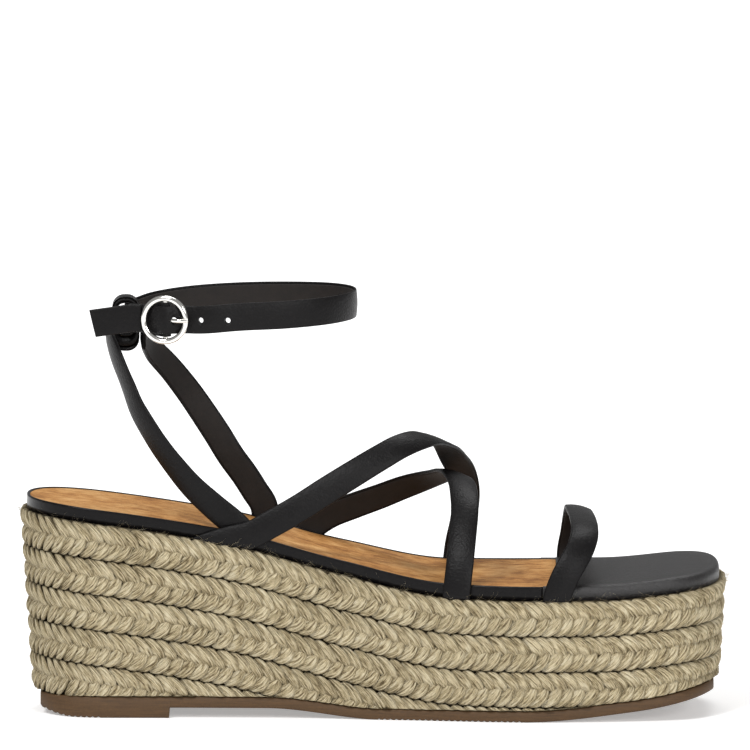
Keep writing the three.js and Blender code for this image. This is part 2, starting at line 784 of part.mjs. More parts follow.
// The buckle's own directions: x forward along the strap, y up, z out of the shoe.
const forward = new THREE.Vector3(Math.cos(BUCKLE_YAW), -Math.sin(BUCKLE_YAW), 0);
const outward = new THREE.Vector3(-Math.sin(BUCKLE_YAW), -Math.cos(BUCKLE_YAW), 0);
const up = new THREE.Vector3(0, 0, 1);
const BUCKLE_MATRIX = new THREE.Matrix4()
  .makeBasis(forward, up, outward)
  .setPosition(BUCKLE_CENTRE);
const atBuckle = ([x, out, lift = 0]) =>
  new THREE.Vector3(x, lift, out).applyMatrix4(BUCKLE_MATRIX);

const RIM_LEVEL = -(BUCKLE_WIRE + RIM_PLAY + PLY / 2);
const SLEEVE_BORE = BAR_RADIUS + BAR_CLEARANCE;
const BAR_LEVEL = -BAR_RECESS + SLEEVE_BORE + SLEEVE_WALL + CLEARANCE + PLY / 2;
const BILLET_LEVEL = RIM_LEVEL - PLY / 2 - CLEARANCE - UNDERLAP;
const MID_LEVEL = (RIM_LEVEL + BAR_LEVEL) / 2;
const TAIL_START = -(BUCKLE_RADIUS + BUCKLE_WIRE + TAIL_GAP);

const ankleLeatherSection = [
  [-HALF_STRAP, -PLY / 2],
  [HALF_STRAP, -PLY / 2],
  ...chamferedTop(PLY / 2, ANKLE_CHAMFER),
];
const ankleLiningSection = [
  [-HALF_STRAP + LINING_MARGIN, -PLY / 2 - PLY_GAP - LINING_THICKNESS],
  [-HALF_STRAP + LINING_MARGIN, -PLY / 2 - PLY_GAP],
  [HALF_STRAP - LINING_MARGIN, -PLY / 2 - PLY_GAP],
  [HALF_STRAP - LINING_MARGIN, -PLY / 2 - PLY_GAP - LINING_THICKNESS],
];

// A place on the ankle loop: share of its length forward, share of its half width, rise.
const onAnkle = ([share, side, rise]) =>
  new THREE.Vector3(
    KEEPER_X + share * ANKLE_LENGTH,
    (side * ANKLE_WIDTH) / 2,
    ANKLE_Z + rise,
  );
const ankleRound = [
  [0, -0.3, 0],
  [-0.003, -0.02, 0],
  [0.008, 0.2, 0.1],
  [0.042, 0.42, 0.6],
  [0.12, 0.68, 1.9],
  [0.277, 0.9, 3.3],
  [0.494, 0.98, 4.3],
  [0.71, 0.91, 4.8],
  [0.88, 0.7, 5.1],
  [0.97, 0.38, 5.2],
  [1, 0, 5.1],
  [0.97, -0.38, 4.8],
  [0.87, -0.73, 4.3],
  [0.7, -0.95, 3.6],
  [0.494, -1.03, 3],
].map(onAnkle);

const anklePath = [
  ...[
    [-3.2, BILLET_LEVEL + 1.3],
    [-6.5, BILLET_LEVEL + 0.1],
    [-10, BILLET_LEVEL],
    [-13.3, BILLET_LEVEL - 1.1],
  ].map(atBuckle),
  ...ankleRound,
  ...[
    [16, RIM_LEVEL + 0.4, 0.3],
    [11, RIM_LEVEL],
    [BUCKLE_RADIUS, RIM_LEVEL],
    [0.5 * BUCKLE_RADIUS, MID_LEVEL],
    [0, BAR_LEVEL],
    [-0.5 * BUCKLE_RADIUS, MID_LEVEL],
    [-BUCKLE_RADIUS, RIM_LEVEL],
    [TAIL_START + CLEARANCE, RIM_LEVEL],
  ].map(atBuckle),
];
const liningPath = [
  atBuckle([-11.5, BILLET_LEVEL - 0.4]),
  anklePath[3],
  ...ankleRound,
  ...[
    [16, RIM_LEVEL + 0.4, 0.3],
    [11, RIM_LEVEL],
  ].map(atBuckle),
];

// Steps along the ankle strap, its lining and its free end.
const ANKLE_STEPS = 84;
const ANKLE_LINING_STEPS = 56;
const TAIL_STEPS = 8;
const SLEEVE_STEPS = 9; // round the sleeve on the bar, and its bore

// The strap stands upright, so it faces sideways out of the loop.
const loopOutward = (spot, ahead) => new THREE.Vector3(-ahead.y, ahead.x, 0);

// A shape drawn forward and outward, pulled along the bar, in the buckle's place.
function alongBar(shape, width) {
  const settings = { depth: width, bevelEnabled: false, curveSegments: SLEEVE_STEPS };
  const geometry = new THREE.ExtrudeGeometry(shape, settings);
  geometry.rotateX(Math.PI / 2);
  geometry.translate(0, width / 2, 0);
  return geometry.applyMatrix4(BUCKLE_MATRIX);
}

function disc(radius) {
  const shape = new THREE.Shape();
  shape.absarc(0, -BAR_RECESS, radius, 0, 2 * Math.PI);
  return shape;
}

function slotBox(x0, x1, width, out0, out1) {
  return block([x0, x1], [-width / 2, width / 2], [out0, out1]).applyMatrix4(BUCKLE_MATRIX);
}

// A round hole through the strap at a place forward of the bar.
function punch(x) {
  const tool = new THREE.CylinderGeometry(HOLE_RADIUS, HOLE_RADIUS, PUNCH_REACH, HOLE_SIDES);
  tool.rotateX(Math.PI / 2);
  tool.translate(x, 0, RIM_LEVEL);
  return tool.applyMatrix4(BUCKLE_MATRIX);
}
const HOLES = [PRONG_HOLE + HOLE_PITCH, PRONG_HOLE + 2 * HOLE_PITCH];

// The leather layer of the ankle strap, with its end folded round the buckle's bar.
function ankleStrap() {
  const foldWidth = STRAP_WIDTH - 2 * FOLD_MARGIN;
  const arm = new THREE.Shape(
    [
      [-0.6, -BAR_RECESS - SLEEVE_BORE - 0.2],
      [-FOLD_REACH, BILLET_LEVEL],
      [-FOLD_REACH, BILLET_LEVEL + PLY],
      [-1.4, -BAR_RECESS + 0.4],
    ].map(([x, y]) => new THREE.Vector2(x, y)),
  );
  const strap = join(
    sweep(anklePath, ANKLE_STEPS, loopOutward, ankleLeatherSection),
    alongBar(arm, foldWidth),
    alongBar(disc(SLEEVE_BORE + SLEEVE_WALL), foldWidth),
  );
  const slotWidth = PRONG_WIDTH + 2 * CLEARANCE;
  const [inside, outside] = EYE_SLOT_DEPTH.map((depth) => depth - BAR_RECESS);
  const eyeSlot = slotBox(...EYE_SLOT, slotWidth, inside, outside);
  const prongSlot = slotBox(...PRONG_SLOT, slotWidth, RIM_LEVEL, BAR_LEVEL + PLY);
  const barBore = alongBar(disc(SLEEVE_BORE), STRAP_WIDTH + 2 * BORE_OVERRUN);
  return cut(strap, barBore, eyeSlot, prongSlot, ...HOLES.map(punch));
}

function ankleLining() {
  const lining = sweep(liningPath, ANKLE_LINING_STEPS, loopOutward, ankleLiningSection);
  return cut(lining, ...HOLES.map(punch));
}

// The free end past the buckle, cut off at a slant.
function strapTail() {
  const tip = TAIL_START - TAIL_LENGTH;
  const inner = -PLY / 2 - PLY_GAP - LINING_THICKNESS + CLEARANCE;
  const section = [
    [-HALF_STRAP, inner],
    [HALF_STRAP, inner],
    ...ankleLeatherSection.slice(2),
  ];
  const path = [
    [TAIL_START, RIM_LEVEL],
    [TAIL_START - 4, RIM_LEVEL + 0.3],
    [TAIL_START - 0.5 * TAIL_LENGTH, RIM_LEVEL + 0.9, -0.8],
    [tip, RIM_LEVEL + 1.8, -2.2],
  ].map(atBuckle);
  const [ahead, lift] = TAIL_CUT;
  const off = block([-BEYOND, 0], [-BEYOND, BEYOND], [-BEYOND, BEYOND]);
  off.rotateZ(TAIL_SLANT);
  off.translate(tip + ahead, lift, 0);
  const tail = sweep(path, TAIL_STEPS, loopOutward, section);
  return cut(tail, off.applyMatrix4(BUCKLE_MATRIX));
}

// ---- Metal, in the buckle's own frame ----

const WIRE_SIDES = 8;
const RING_STEPS = 36;
const BAR_SIDES = 10;

function buckleFrame() {
  const ring = new THREE.TorusGeometry(BUCKLE_RADIUS, BUCKLE_WIRE, WIRE_SIDES, RING_STEPS);
  const barLength = 2 * BUCKLE_RADIUS;
  const bar = new THREE.CylinderGeometry(BAR_RADIUS, BAR_RADIUS, barLength, BAR_SIDES);
  bar.translate(0, 0, -BAR_RECESS);
  const half = LUG_SIZE / 2;
  const lugs = [-1, 1].map((end) => {
    const y = end * (BUCKLE_RADIUS - LUG_SEAT);
    return block([-half, half], [y - half, y + half], [-BAR_RECESS - BAR_RADIUS, 0]);
  });
  return join(ring, bar, ...lugs);
}

const PRONG_STEPS = 12;
const PRONG_TIP_STEPS = 3; // the last steps, which are thinner
const EYE_STEPS = 8;

function buckleProng() {
  const eye = BAR_RADIUS + PRONG_PLAY;
  const rest = BUCKLE_WIRE + CLEARANCE + PRONG_HALF;
  const middle = [
    [1, -BAR_RECESS + 0.9],
    [2.3, 0.5],
    [PRONG_HOLE + 0.2, 1.75],
    [5.3, 2.25],
    [BUCKLE_RADIUS, rest],
    [BUCKLE_RADIUS + 1.3, rest - 0.25],
  ].map(([x, y]) => new THREE.Vector2(x, y));
  const spine = new THREE.SplineCurve(middle).getPoints(PRONG_STEPS);
  const side = (sign) =>
    spine.map((point, i) => {
      const before = spine[Math.max(i - 1, 0)];
      const after = spine[Math.min(i + 1, PRONG_STEPS)];
      const ahead = after.clone().sub(before).normalize();
      const taper = i > PRONG_STEPS - PRONG_TIP_STEPS ? PRONG_TAPER : 1;
      const half = PRONG_HALF * taper * sign;
      return new THREE.Vector2(point.x - ahead.y * half, point.y + ahead.x * half);
    });
  const across = (shape, width) => {
    const settings = { depth: width, bevelEnabled: false, curveSegments: EYE_STEPS };
    const geometry = new THREE.ExtrudeGeometry(shape, settings);
    geometry.rotateX(Math.PI / 2);
    return geometry.translate(0, width / 2, 0);
  };
  const arm = new THREE.Shape([...side(1), ...side(-1).reverse()]);
  const ring = across(disc(eye + PRONG_EYE_WALL), PRONG_WIDTH);
  const bore = across(disc(eye), PRONG_WIDTH + 2 * BORE_OVERRUN);
  return cut(join(ring, across(arm, PRONG_WIDTH)), bore);
}

// ---- Assembly ----

const JUTE = { color: 0xbfae8c, roughness: 0.95, metalness: 0 };
const RUBBER = { color: 0x8a5f3c, roughness: 0.7, metalness: 0 };
const CORK = { color: 0xc8a878, roughness: 0.9, metalness: 0 };
const BOARD = { color: 0xa08868, roughness: 0.9, metalness: 0 };
const FOAM = { color: 0xe8e0d0, roughness: 0.95, metalness: 0 };
const TAN = { color: 0xc89657, roughness: 0.6, metalness: 0 };
const BLACK = { color: 0x121112, roughness: 0.4, metalness: 0 };
const LINING = { color: 0x1c1817, roughness: 0.7, metalness: 0 };
const NICKEL = { color: 0xd8d8d4, roughness: 0.15, metalness: 1 };
const STEEL = { color: 0x9a9a9c, roughness: 0.4, metalness: 1 };

function addPiece(group, name, geometry, finish) {
  const mesh = new THREE.Mesh(geometry, new THREE.MeshStandardMaterial(finish));
  mesh.name = name;
  group.add(mesh);
}

function soleUnit() {
  const unit = new THREE.Group();
  addPiece(unit, "outsole", outsole(), RUBBER);
  addPiece(unit, "wedge_core", wedgeCore(), CORK);
  addPiece(unit, "shank", shank(), STEEL);
  return unit;
}

// The upright lines that the heel straps face away from, as shares of the length.
const MEDIAL_AXIS = 0.3;
const LATERAL_AXIS = 0.33;
const LATERAL_STEPS = 28;

// Each strap that tucks into the braid: its path, how it faces, and its number of steps.
const FOOT_STRAPS = {
  upper_cross_strap: [upperCrossPath, awayFromFoot(upperCrossPath), 40],
  lower_cross_strap: [lowerCrossPath, awayFromFoot(lowerCrossPath), 36],
  toe_strap: [toePath, awayFromFoot(toePath), 30],
  medial_heel_strap: [medialHeelPath, awayFromHeel(MEDIAL_AXIS), 26],
};

function strapLayers(unit, name, path, faces, steps, region) {
  const leather = sweep(path, steps, faces, leatherSection);
  const lining = sweep(path, steps, faces, liningSection);
  addPiece(unit, name, keepInside(leather, region), BLACK);
  addPiece(unit, name + "_lining", keepInside(lining, region), LINING);
}

function upper() {
  const unit = new THREE.Group();
  for (const [name, [path, faces, steps]] of Object.entries(FOOT_STRAPS)) {
    strapLayers(unit, name, path, faces, steps, aboveTuck);
  }
  const faces = awayFromHeel(LATERAL_AXIS);
  const name = "lateral_heel_strap";
  strapLayers(unit, name, lateralHeelPath, faces, LATERAL_STEPS, aboveBinding);
  addPiece(unit, "keeper_loop", keeperLoop(), BLACK);
  return unit;
}

// The braid rows, kept off the outsole and opened where the straps tuck in.
function braid() {
  const unit = new THREE.Group();
  const pockets = Object.values(FOOT_STRAPS).map(([path, faces, steps]) =>
    sweep(path, steps, faces, roomSection),
  );
  const room = soleRoom();
  for (let row = 0; row < BRAID_ROWS; row += 1) {
    const tools = row === 0 ? pockets : [room];
    addPiece(unit, "jute_braid_" + (row + 1), cut(braidRow(row), ...tools), JUTE);
  }
  return unit;
}

function footbed() {
  const unit = new THREE.Group();
  addPiece(unit, "insole_board", slab(boardBottom, boardTop), BOARD);
  addPiece(unit, "footbed_foam", slab(foamBottom, foamTop), FOAM);
  const sock = slab(sockBottom, sockTop, { to: COVER_TOP_START });
  addPiece(unit, "sock_lining", keepInside(sock, allBehind(COVER_TOP_START + CLEARANCE / 2)), TAN);
  addPiece(unit, "footbed_binding", binding(), BLACK);
  addPiece(unit, "toe_cover", toeCover(), BLACK);
  return unit;
}

function ankle() {
  const unit = new THREE.Group();
  addPiece(unit, "ankle_strap", ankleStrap(), BLACK);
  addPiece(unit, "ankle_strap_lining", ankleLining(), LINING);
  addPiece(unit, "strap_tail", strapTail(), BLACK);
  const buckle = new THREE.Group();
  buckle.applyMatrix4(BUCKLE_MATRIX);
  addPiece(buckle, "buckle_frame", buckleFrame(), NICKEL);
  addPiece(buckle, "buckle_prong", buckleProng(), NICKEL);
  unit.add(buckle);
  return unit;
}

const sandal = new THREE.Group();
sandal.add(soleUnit(), braid(), footbed(), upper(), ankle());

export default sandal;
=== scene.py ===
import math
import random

import bmesh
import bpy
import numpy as np
from mathutils import Matrix, Vector


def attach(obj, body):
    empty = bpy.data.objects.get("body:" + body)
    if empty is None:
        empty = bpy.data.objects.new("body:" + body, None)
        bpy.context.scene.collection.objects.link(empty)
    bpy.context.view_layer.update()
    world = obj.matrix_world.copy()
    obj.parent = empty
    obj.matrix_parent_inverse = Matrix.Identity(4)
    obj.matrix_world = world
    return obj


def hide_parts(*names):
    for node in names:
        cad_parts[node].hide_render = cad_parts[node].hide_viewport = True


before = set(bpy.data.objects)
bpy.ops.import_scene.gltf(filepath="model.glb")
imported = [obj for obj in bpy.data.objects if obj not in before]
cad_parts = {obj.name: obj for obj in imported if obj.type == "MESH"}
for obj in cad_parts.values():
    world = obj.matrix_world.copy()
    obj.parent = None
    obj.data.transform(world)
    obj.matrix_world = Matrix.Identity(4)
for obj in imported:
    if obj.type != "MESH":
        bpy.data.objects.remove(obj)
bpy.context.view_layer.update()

# ---- Sizes, in metres ----
# +X points to the toe, +Y to the inner side, +Z up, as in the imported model.

LENGTH = 0.255
HALF_LENGTH = LENGTH / 2
BALL_WIDTH = 0.092
HEEL_WIDTH = 0.068
WAIST_WIDTH = 0.0695
TOE_WIDTH = 0.082
HEEL_SEAT_HEIGHT = 0.0784
BALL_HEIGHT = 0.049
TOE_HEIGHT = 0.0536
TOE_SPRING = 0.0105
ARCH_LIFT = 0.0037
HEEL_BEVEL = 0.0046
SOLE_THICKNESS = 0.004
SOLE_INSET = 0.0011
HEEL_BLOCK_FRONT = -0.073
HEEL_ROUND = 0.034
HEEL_SQUARENESS = 2.3
TOE_ROUND = 0.025
TOE_SQUARENESS = 2.7

BRAID_ROWS = 5
BRAID_PITCH = 0.0129
BATTER = 0.067
FOOTBED_EDGE = 0.0051
FOOTBED_INSET = 0.0028
BINDING_THICKNESS = 0.0012
BINDING_BEAD = 0.00035
SOCK_BELOW_TOP = 0.0001
TOE_PAD = 0.0009
COVER_SIDE_START = 0.0608
COVER_TOP_START = 0.0663

STRAP_WIDTH = 0.01
STRAP_THICKNESS = 0.002
LINING_THICKNESS = 0.0007
LINING_WIDTH = 0.0082
STRAP_CLEARANCE = 0.0005
TUCK_IN = 0.0018
CROWN = 0.019
TURN_EASE = 0.009

ANKLE_RISE = 0.068
ANKLE_LENGTH = 0.083
ANKLE_WIDTH = 0.058
ANKLE_SET_BACK = 0.0385
KEEPER_HEIGHT = 0.0196
KEEPER_DEPTH = 0.0098
KEEPER_WIDTH = 0.009
KEEPER_WALL = 0.0018
KEEPER_FOOT = 0.0058
KEEPER_PADDING = 0.0006
KEEPER_DROP = 0.0022

BUCKLE_RADIUS = 0.00775
BUCKLE_WIRE = 0.00105
BUCKLE_FORWARD = 0.0143
BUCKLE_OUT = 0.0286
BUCKLE_LIFT = 0.0019
BUCKLE_YAW = math.radians(14)
BAR_RADIUS = 0.0008
BAR_RECESS = 0.0016
SLEEVE_BORE = BAR_RADIUS + 0.00025
SLEEVE_WALL = 0.0009
SLEEVE_PLAY = 0.0006
PLY = 0.001
PRONG_WIDTH = 0.0015
PRONG_HALF = 0.00065
PRONG_HOLE = 0.0034
HOLE_PITCH = 0.0095
HOLE_RADIUS = 0.001
TAIL_LENGTH = 0.018
TAIL_GAP = 0.0006
TAIL_SLANT = math.radians(5)
TAIL_TRIM = 0.0005
RIM_PLAY = 0.00075
CLEARANCE = 0.0003
PLY_GAP = 0.0002


# ---- Curves of the sole ----


def through(points):
    """A smooth function through the points, with no overshoot. It takes numbers or arrays."""
    xs = np.array([p[0] for p in points], float)
    ys = np.array([p[1] for p in points], float)
    rises = np.diff(ys) / np.diff(xs)
    slopes = np.empty(len(xs))
    slopes[0], slopes[-1] = rises[0], rises[-1]
    for i in range(1, len(xs) - 1):
        before, after = rises[i - 1], rises[i]
        slopes[i] = 0 if before * after <= 0 else 2 * before * after / (before + after)

    def height(x):
        i = np.clip(np.searchsorted(xs, x) - 1, 0, len(xs) - 2)
        run = xs[i + 1] - xs[i]
        t = np.clip((x - xs[i]) / run, 0, 1)
        start = ys[i] * (1 + 2 * t) * (1 - t) ** 2 + slopes[i] * run * t * (1 - t) ** 2
        end = ys[i + 1] * t * t * (3 - 2 * t) - slopes[i + 1] * run * t * t * (1 - t)
        return start + end

    return height


def along(share):
    return (share - 0.5) * LENGTH


def climb(share):
    return BALL_HEIGHT + share * (HEEL_SEAT_HEIGHT - BALL_HEIGHT)


footbed_top = through([
    (-HALF_LENGTH, HEEL_SEAT_HEIGHT),
    (along(0.05), climb(0.96)),
    (along(0.29), climb(0.66)),
    (along(0.455), climb(0.29)),
    (along(0.61), climb(0.025)),
    (along(0.72), BALL_HEIGHT),
    (along(0.82), BALL_HEIGHT + 0.0001),
    (along(0.935), BALL_HEIGHT + 0.6 * (TOE_HEIGHT - BALL_HEIGHT)),
    (HALF_LENGTH, TOE_HEIGHT),
])
sole_curl = through([
    (-HALF_LENGTH, HEEL_BEVEL),
    (along(0.08), 0),
    (along(0.71), 0),
    (along(0.87), 0.36 * TOE_SPRING),
    (HALF_LENGTH, TOE_SPRING),
])
arch_lift = through([
    (HEEL_BLOCK_FRONT, ARCH_LIFT),
    (along(0.35), ARCH_LIFT),
    (along(0.51), 0),
    (HALF_LENGTH, 0),
])


def braid_top(x):
    return footbed_top(x) - FOOTBED_EDGE


def sole_bottom(x):
    return sole_curl(x) + np.where(x > HEEL_BLOCK_FRONT, arch_lift(x), 0)


def sole_top(x):
    lift = arch_lift(np.maximum(x, HEEL_BLOCK_FRONT))
    return SOLE_THICKNESS + np.where(x > 0, sole_curl(x), 0) + lift


def side_line(waist_share, toe_share):
    waist = WAIST_WIDTH / 2 * waist_share
    return through([
        (-HALF_LENGTH, HEEL_WIDTH / 2),
        (along(0.13), HEEL_WIDTH / 2),
        (along(0.4), waist),
        (along(0.54), waist + 0.18 * (BALL_WIDTH - WAIST_WIDTH)),
        (along(0.727), BALL_WIDTH / 2),
        (along(0.86), (BALL_WIDTH + (TOE_WIDTH - BALL_WIDTH) * 0.25) / 2),
        (HALF_LENGTH, TOE_WIDTH / 2 * toe_share),
    ])


lateral_line = side_line(1.02, 0.97)
medial_line = side_line(0.98, 1.03)


def rounded_end(distance, radius, squareness):
    share = np.clip(1 - distance / radius, 0, 1)
    return (1 - share**squareness) ** (1 / squareness)


def half_width(x, side):
    full = np.where(np.asarray(side) < 0, lateral_line(x), medial_line(x))
    heel = rounded_end(x + HALF_LENGTH, HEEL_ROUND, HEEL_SQUARENESS)
    toe = rounded_end(HALF_LENGTH - x, TOE_ROUND, TOE_SQUARENESS)
    return full * heel * toe


def side_slope(x, side, reach=0.001):
    """How fast one side's half width grows with x."""
    return float(half_width(x + reach, side) - half_width(x - reach, side)) / (2 * reach)


def stations(count):
    """x values from heel to toe, crowded towards the sole's two tips."""
    turn = np.linspace(0, math.pi, 4 * count)
    crowded = -HALF_LENGTH * np.cos(turn)
    even = np.linspace(-HALF_LENGTH, HALF_LENGTH, 4 * count)
    every = 0.5 * crowded + 0.5 * even
    return np.interp(np.linspace(0, 1, count), np.linspace(0, 1, 4 * count), every)


class Outline:
    """The sole's outer line, run by its length: lateral side heel to toe, then medial side back."""

    def __init__(self, spacing=0.0005):
        x = stations(900)
        lateral = np.stack([x, -half_width(x, -1)], 1)
        medial = np.stack([x, half_width(x, 1)], 1)[::-1]
        loop = np.concatenate([lateral, medial[1:]])
        steps = np.linalg.norm(np.diff(loop, axis=0), axis=1)
        loop = loop[np.concatenate([[True], steps > 1e-7])]
        self.run = np.concatenate([[0], np.cumsum(np.linalg.norm(np.diff(loop, axis=0), axis=1))])
        self.length = self.run[-1]
        count = int(self.length / spacing)
        self.at = np.linspace(0, self.length, count, endpoint=False)
        self.points = np.stack([np.interp(self.at, self.run, loop[:, i]) for i in (0, 1)], 1)
        ahead = np.roll(self.points, -4, 0) - np.roll(self.points, 4, 0)
        ahead /= np.linalg.norm(ahead, axis=1)[:, None]
        self.inward = np.stack([-ahead[:, 1], ahead[:, 0]], 1)

    def place(self, s, inset):
        """x and y at a run s along the line, moved in by an inset."""
        s = np.mod(s, self.length)
        run = np.append(self.at, self.length)
        out = []
        for i in (0, 1):
            point = np.interp(s, run, np.append(self.points[:, i], self.points[0, i]))
            inward = np.interp(s, run, np.append(self.inward[:, i], self.inward[0, i]))
            out.append(point + inward * inset)
        return out

    def nearest_run(self, x, side):
        gap = np.abs(self.points[:, 0] - x) + np.where(np.sign(self.points[:, 1]) == side, 0, 1)
        return self.at[int(np.argmin(gap))]


outline = Outline()


# ---- Meshes ----


def mesh_piece(name, points, faces, body="shoe"):
    mesh = bpy.data.meshes.new(name)
    mesh.from_pydata([tuple(p) for p in np.asarray(points).reshape(-1, 3)], [], faces)
    mesh.validate()
    mesh.polygons.foreach_set("use_smooth", [True] * len(mesh.polygons))
    mesh.update()
    piece = bpy.data.objects.new(name, mesh)
    bpy.context.collection.objects.link(piece)
    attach(piece, body)
    return piece


def grid_faces(rows, columns, offset=0, wrap_rows=False):
    """Quads over a grid of points, row by row."""
    last_row = rows if wrap_rows else rows - 1
    faces = []
    for r in range(last_row):
        here, there = offset + r * columns, offset + (r + 1) % rows * columns
        for c in range(columns):
            d = (c + 1) % columns
            faces.append((here + c, here + d, there + d, there + c))
    return faces


def ladder(ring):
    """Quads that close a ring from both of its sides."""
    faces = []
    low, high = 0, len(ring) - 1
    while high - low > 2:
        faces.append((ring[low], ring[low + 1], ring[high - 1], ring[high]))
        low, high = low + 1, high - 1
    if high - low == 2:
        faces.append((ring[low], ring[low + 1], ring[high]))
    return faces


def skin(name, rings, body="shoe", closed=False):
    """A closed body over rings of points that have the same number of points."""
    rings = np.asarray(rings)
    rows, columns = rings.shape[:2]
    faces = grid_faces(rows, columns, wrap_rows=closed)
    if not closed:
        faces += [tuple(reversed(face)) for face in ladder(list(range(columns)))]
        faces += ladder([(rows - 1) * columns + c for c in range(columns)])
    piece = mesh_piece(name, rings, faces, body)
    face_outwards(piece)
    return piece


def face_outwards(piece):
    work = bmesh.new()
    work.from_mesh(piece.data)
    bmesh.ops.recalc_face_normals(work, faces=work.faces)
    if work.calc_volume(signed=True) < 0:
        bmesh.ops.reverse_faces(work, faces=work.faces)
    work.to_mesh(piece.data)
    work.free()


def write_values(piece, name, values, kind="FLOAT"):
    attribute = piece.data.attributes.new(name, kind, "POINT")
    key = "vector" if kind == "FLOAT_VECTOR" else "value"
    attribute.data.foreach_set(key, np.asarray(values, np.float32).ravel())


CORNER_STEPS = 4


def rounded_section(half_wide, low, high, radius, dome=0.0, flat_steps=5):
    """A section as (across, outward) points: a strip with rounded edges and a domed top."""
    radius = min(radius, (high - low) / 2 * 0.98)
    points = []
    corners = [
        (half_wide - radius, low + radius, -90),
        (half_wide - radius, high - radius, 0),
        (-half_wide + radius, high - radius, 90),
        (-half_wide + radius, low + radius, 180),
    ]
    for number, (x, y, start) in enumerate(corners):
        for i in range(CORNER_STEPS + 1):
            turn = math.radians(start + 90 * i / CORNER_STEPS)
            points.append((x + radius * math.cos(turn), y + radius * math.sin(turn)))
        next_x = corners[(number + 1) % 4][0]
        level = high if number == 1 else low
        for i in range(1, flat_steps) if number in (1, 3) else ():
            points.append((x + (next_x - x) * i / flat_steps, level))
    middle = (low + high) / 2
    return [
        (u, v + dome * (1 - (u / half_wide) ** 2) * (1 if v > middle else 0)) for u, v in points
    ]


# ---- Paths for straps ----


def smooth_path(points, steps):
    """Evenly spaced places on a centripetal Catmull-Rom curve through the points."""
    p = [np.array(q, float) for q in points]
    p = [2 * p[0] - p[1]] + p + [2 * p[-1] - p[-2]]
    dense = []
    for i in range(1, len(p) - 2):
        a, b, c, d = p[i - 1 : i + 3]
        ab = np.linalg.norm(b - a) ** 0.5
        bc = np.linalg.norm(c - b) ** 0.5
        cd = np.linalg.norm(d - c) ** 0.5
        leave = (b - a) / ab - (c - a) / (ab + bc) + (c - b) / bc
        arrive = (c - b) / bc - (d - b) / (bc + cd) + (d - c) / cd
        leave, arrive = leave * bc, arrive * bc
        for t in np.linspace(0, 1, 40, endpoint=False):
            t2, t3 = t * t, t**3
            spot = (2 * t3 - 3 * t2 + 1) * b + (t3 - 2 * t2 + t) * leave
            dense.append(spot + (-2 * t3 + 3 * t2) * c + (t3 - t2) * arrive)
    dense.append(p[-2])
    dense = np.array(dense)
    run = np.concatenate([[0], np.cumsum(np.linalg.norm(np.diff(dense, axis=0), axis=1))])
    spots = np.linspace(0, run[-1], steps + 1)
    return np.stack([np.interp(spots, run, dense[:, i]) for i in range(3)], 1)


SLIP_MARGIN = 0.0004  # a strap starts to move in this far above the braid's top
SLIP_RUN = 0.0022
SLIP_DEPTH = 0.0034


def slip_behind(ring):
    """Moves the points of a strap that go below the braid's top in behind its strands."""
    moved = ring.copy()
    for point in moved:
        side = 1 if point[1] > 0 else -1
        depth = float(braid_top(point[0])) - point[2]
        share = min(max((depth + SLIP_MARGIN) / SLIP_RUN, 0.0), 1.0)
        inwards = SLIP_DEPTH * share * share * (3 - 2 * share)
        slope = side_slope(point[0], side)
        size = math.hypot(1, slope)
        point[0] += inwards * slope / size
        point[1] -= side * inwards / size
    return moved


def sweep(name, path, steps, outward_at, section, body="shoe", trim=None, behind_braid=False):
    """Pulls a section of (across, outward) points along a path. trim(across) shifts the far end."""
    spots = smooth_path(path, steps)
    section = np.array(section)
    rings = []
    for i, spot in enumerate(spots):
        ahead = spots[min(i + 1, steps)] - spots[max(i - 1, 0)]
        ahead /= np.linalg.norm(ahead)
        out = np.array(outward_at(spot, ahead), float)
        out -= ahead * out.dot(ahead)
        out /= np.linalg.norm(out)
        across = np.cross(ahead, out)
        ring = spot + section[:, :1] * across + section[:, 1:] * out
        if behind_braid:
            ring = slip_behind(ring)
        if trim:
            ring = ring + ahead * np.array([[trim(u)] for u in section[:, 0]]) * (i / steps) ** 2
        rings.append(ring)
    return skin(name, rings, body)


# ---- Materials ----


class Value:
    """A socket that can be used in sums."""

    def __init__(self, shader, socket):
        self.shader = shader
        self.socket = socket

    def _math(self, operation, first, second):
        return self.shader.node("ShaderNodeMath", {"operation": operation}, {0: first, 1: second})

    def __add__(self, other):
        return self._math("ADD", self, other)

    def __sub__(self, other):
        return self._math("SUBTRACT", self, other)

    def __mul__(self, other):
        return self._math("MULTIPLY", self, other)

    def __radd__(self, other):
        return self._math("ADD", other, self)

    def __rsub__(self, other):
        return self._math("SUBTRACT", other, self)

    def __rmul__(self, other):
        return self._math("MULTIPLY", other, self)


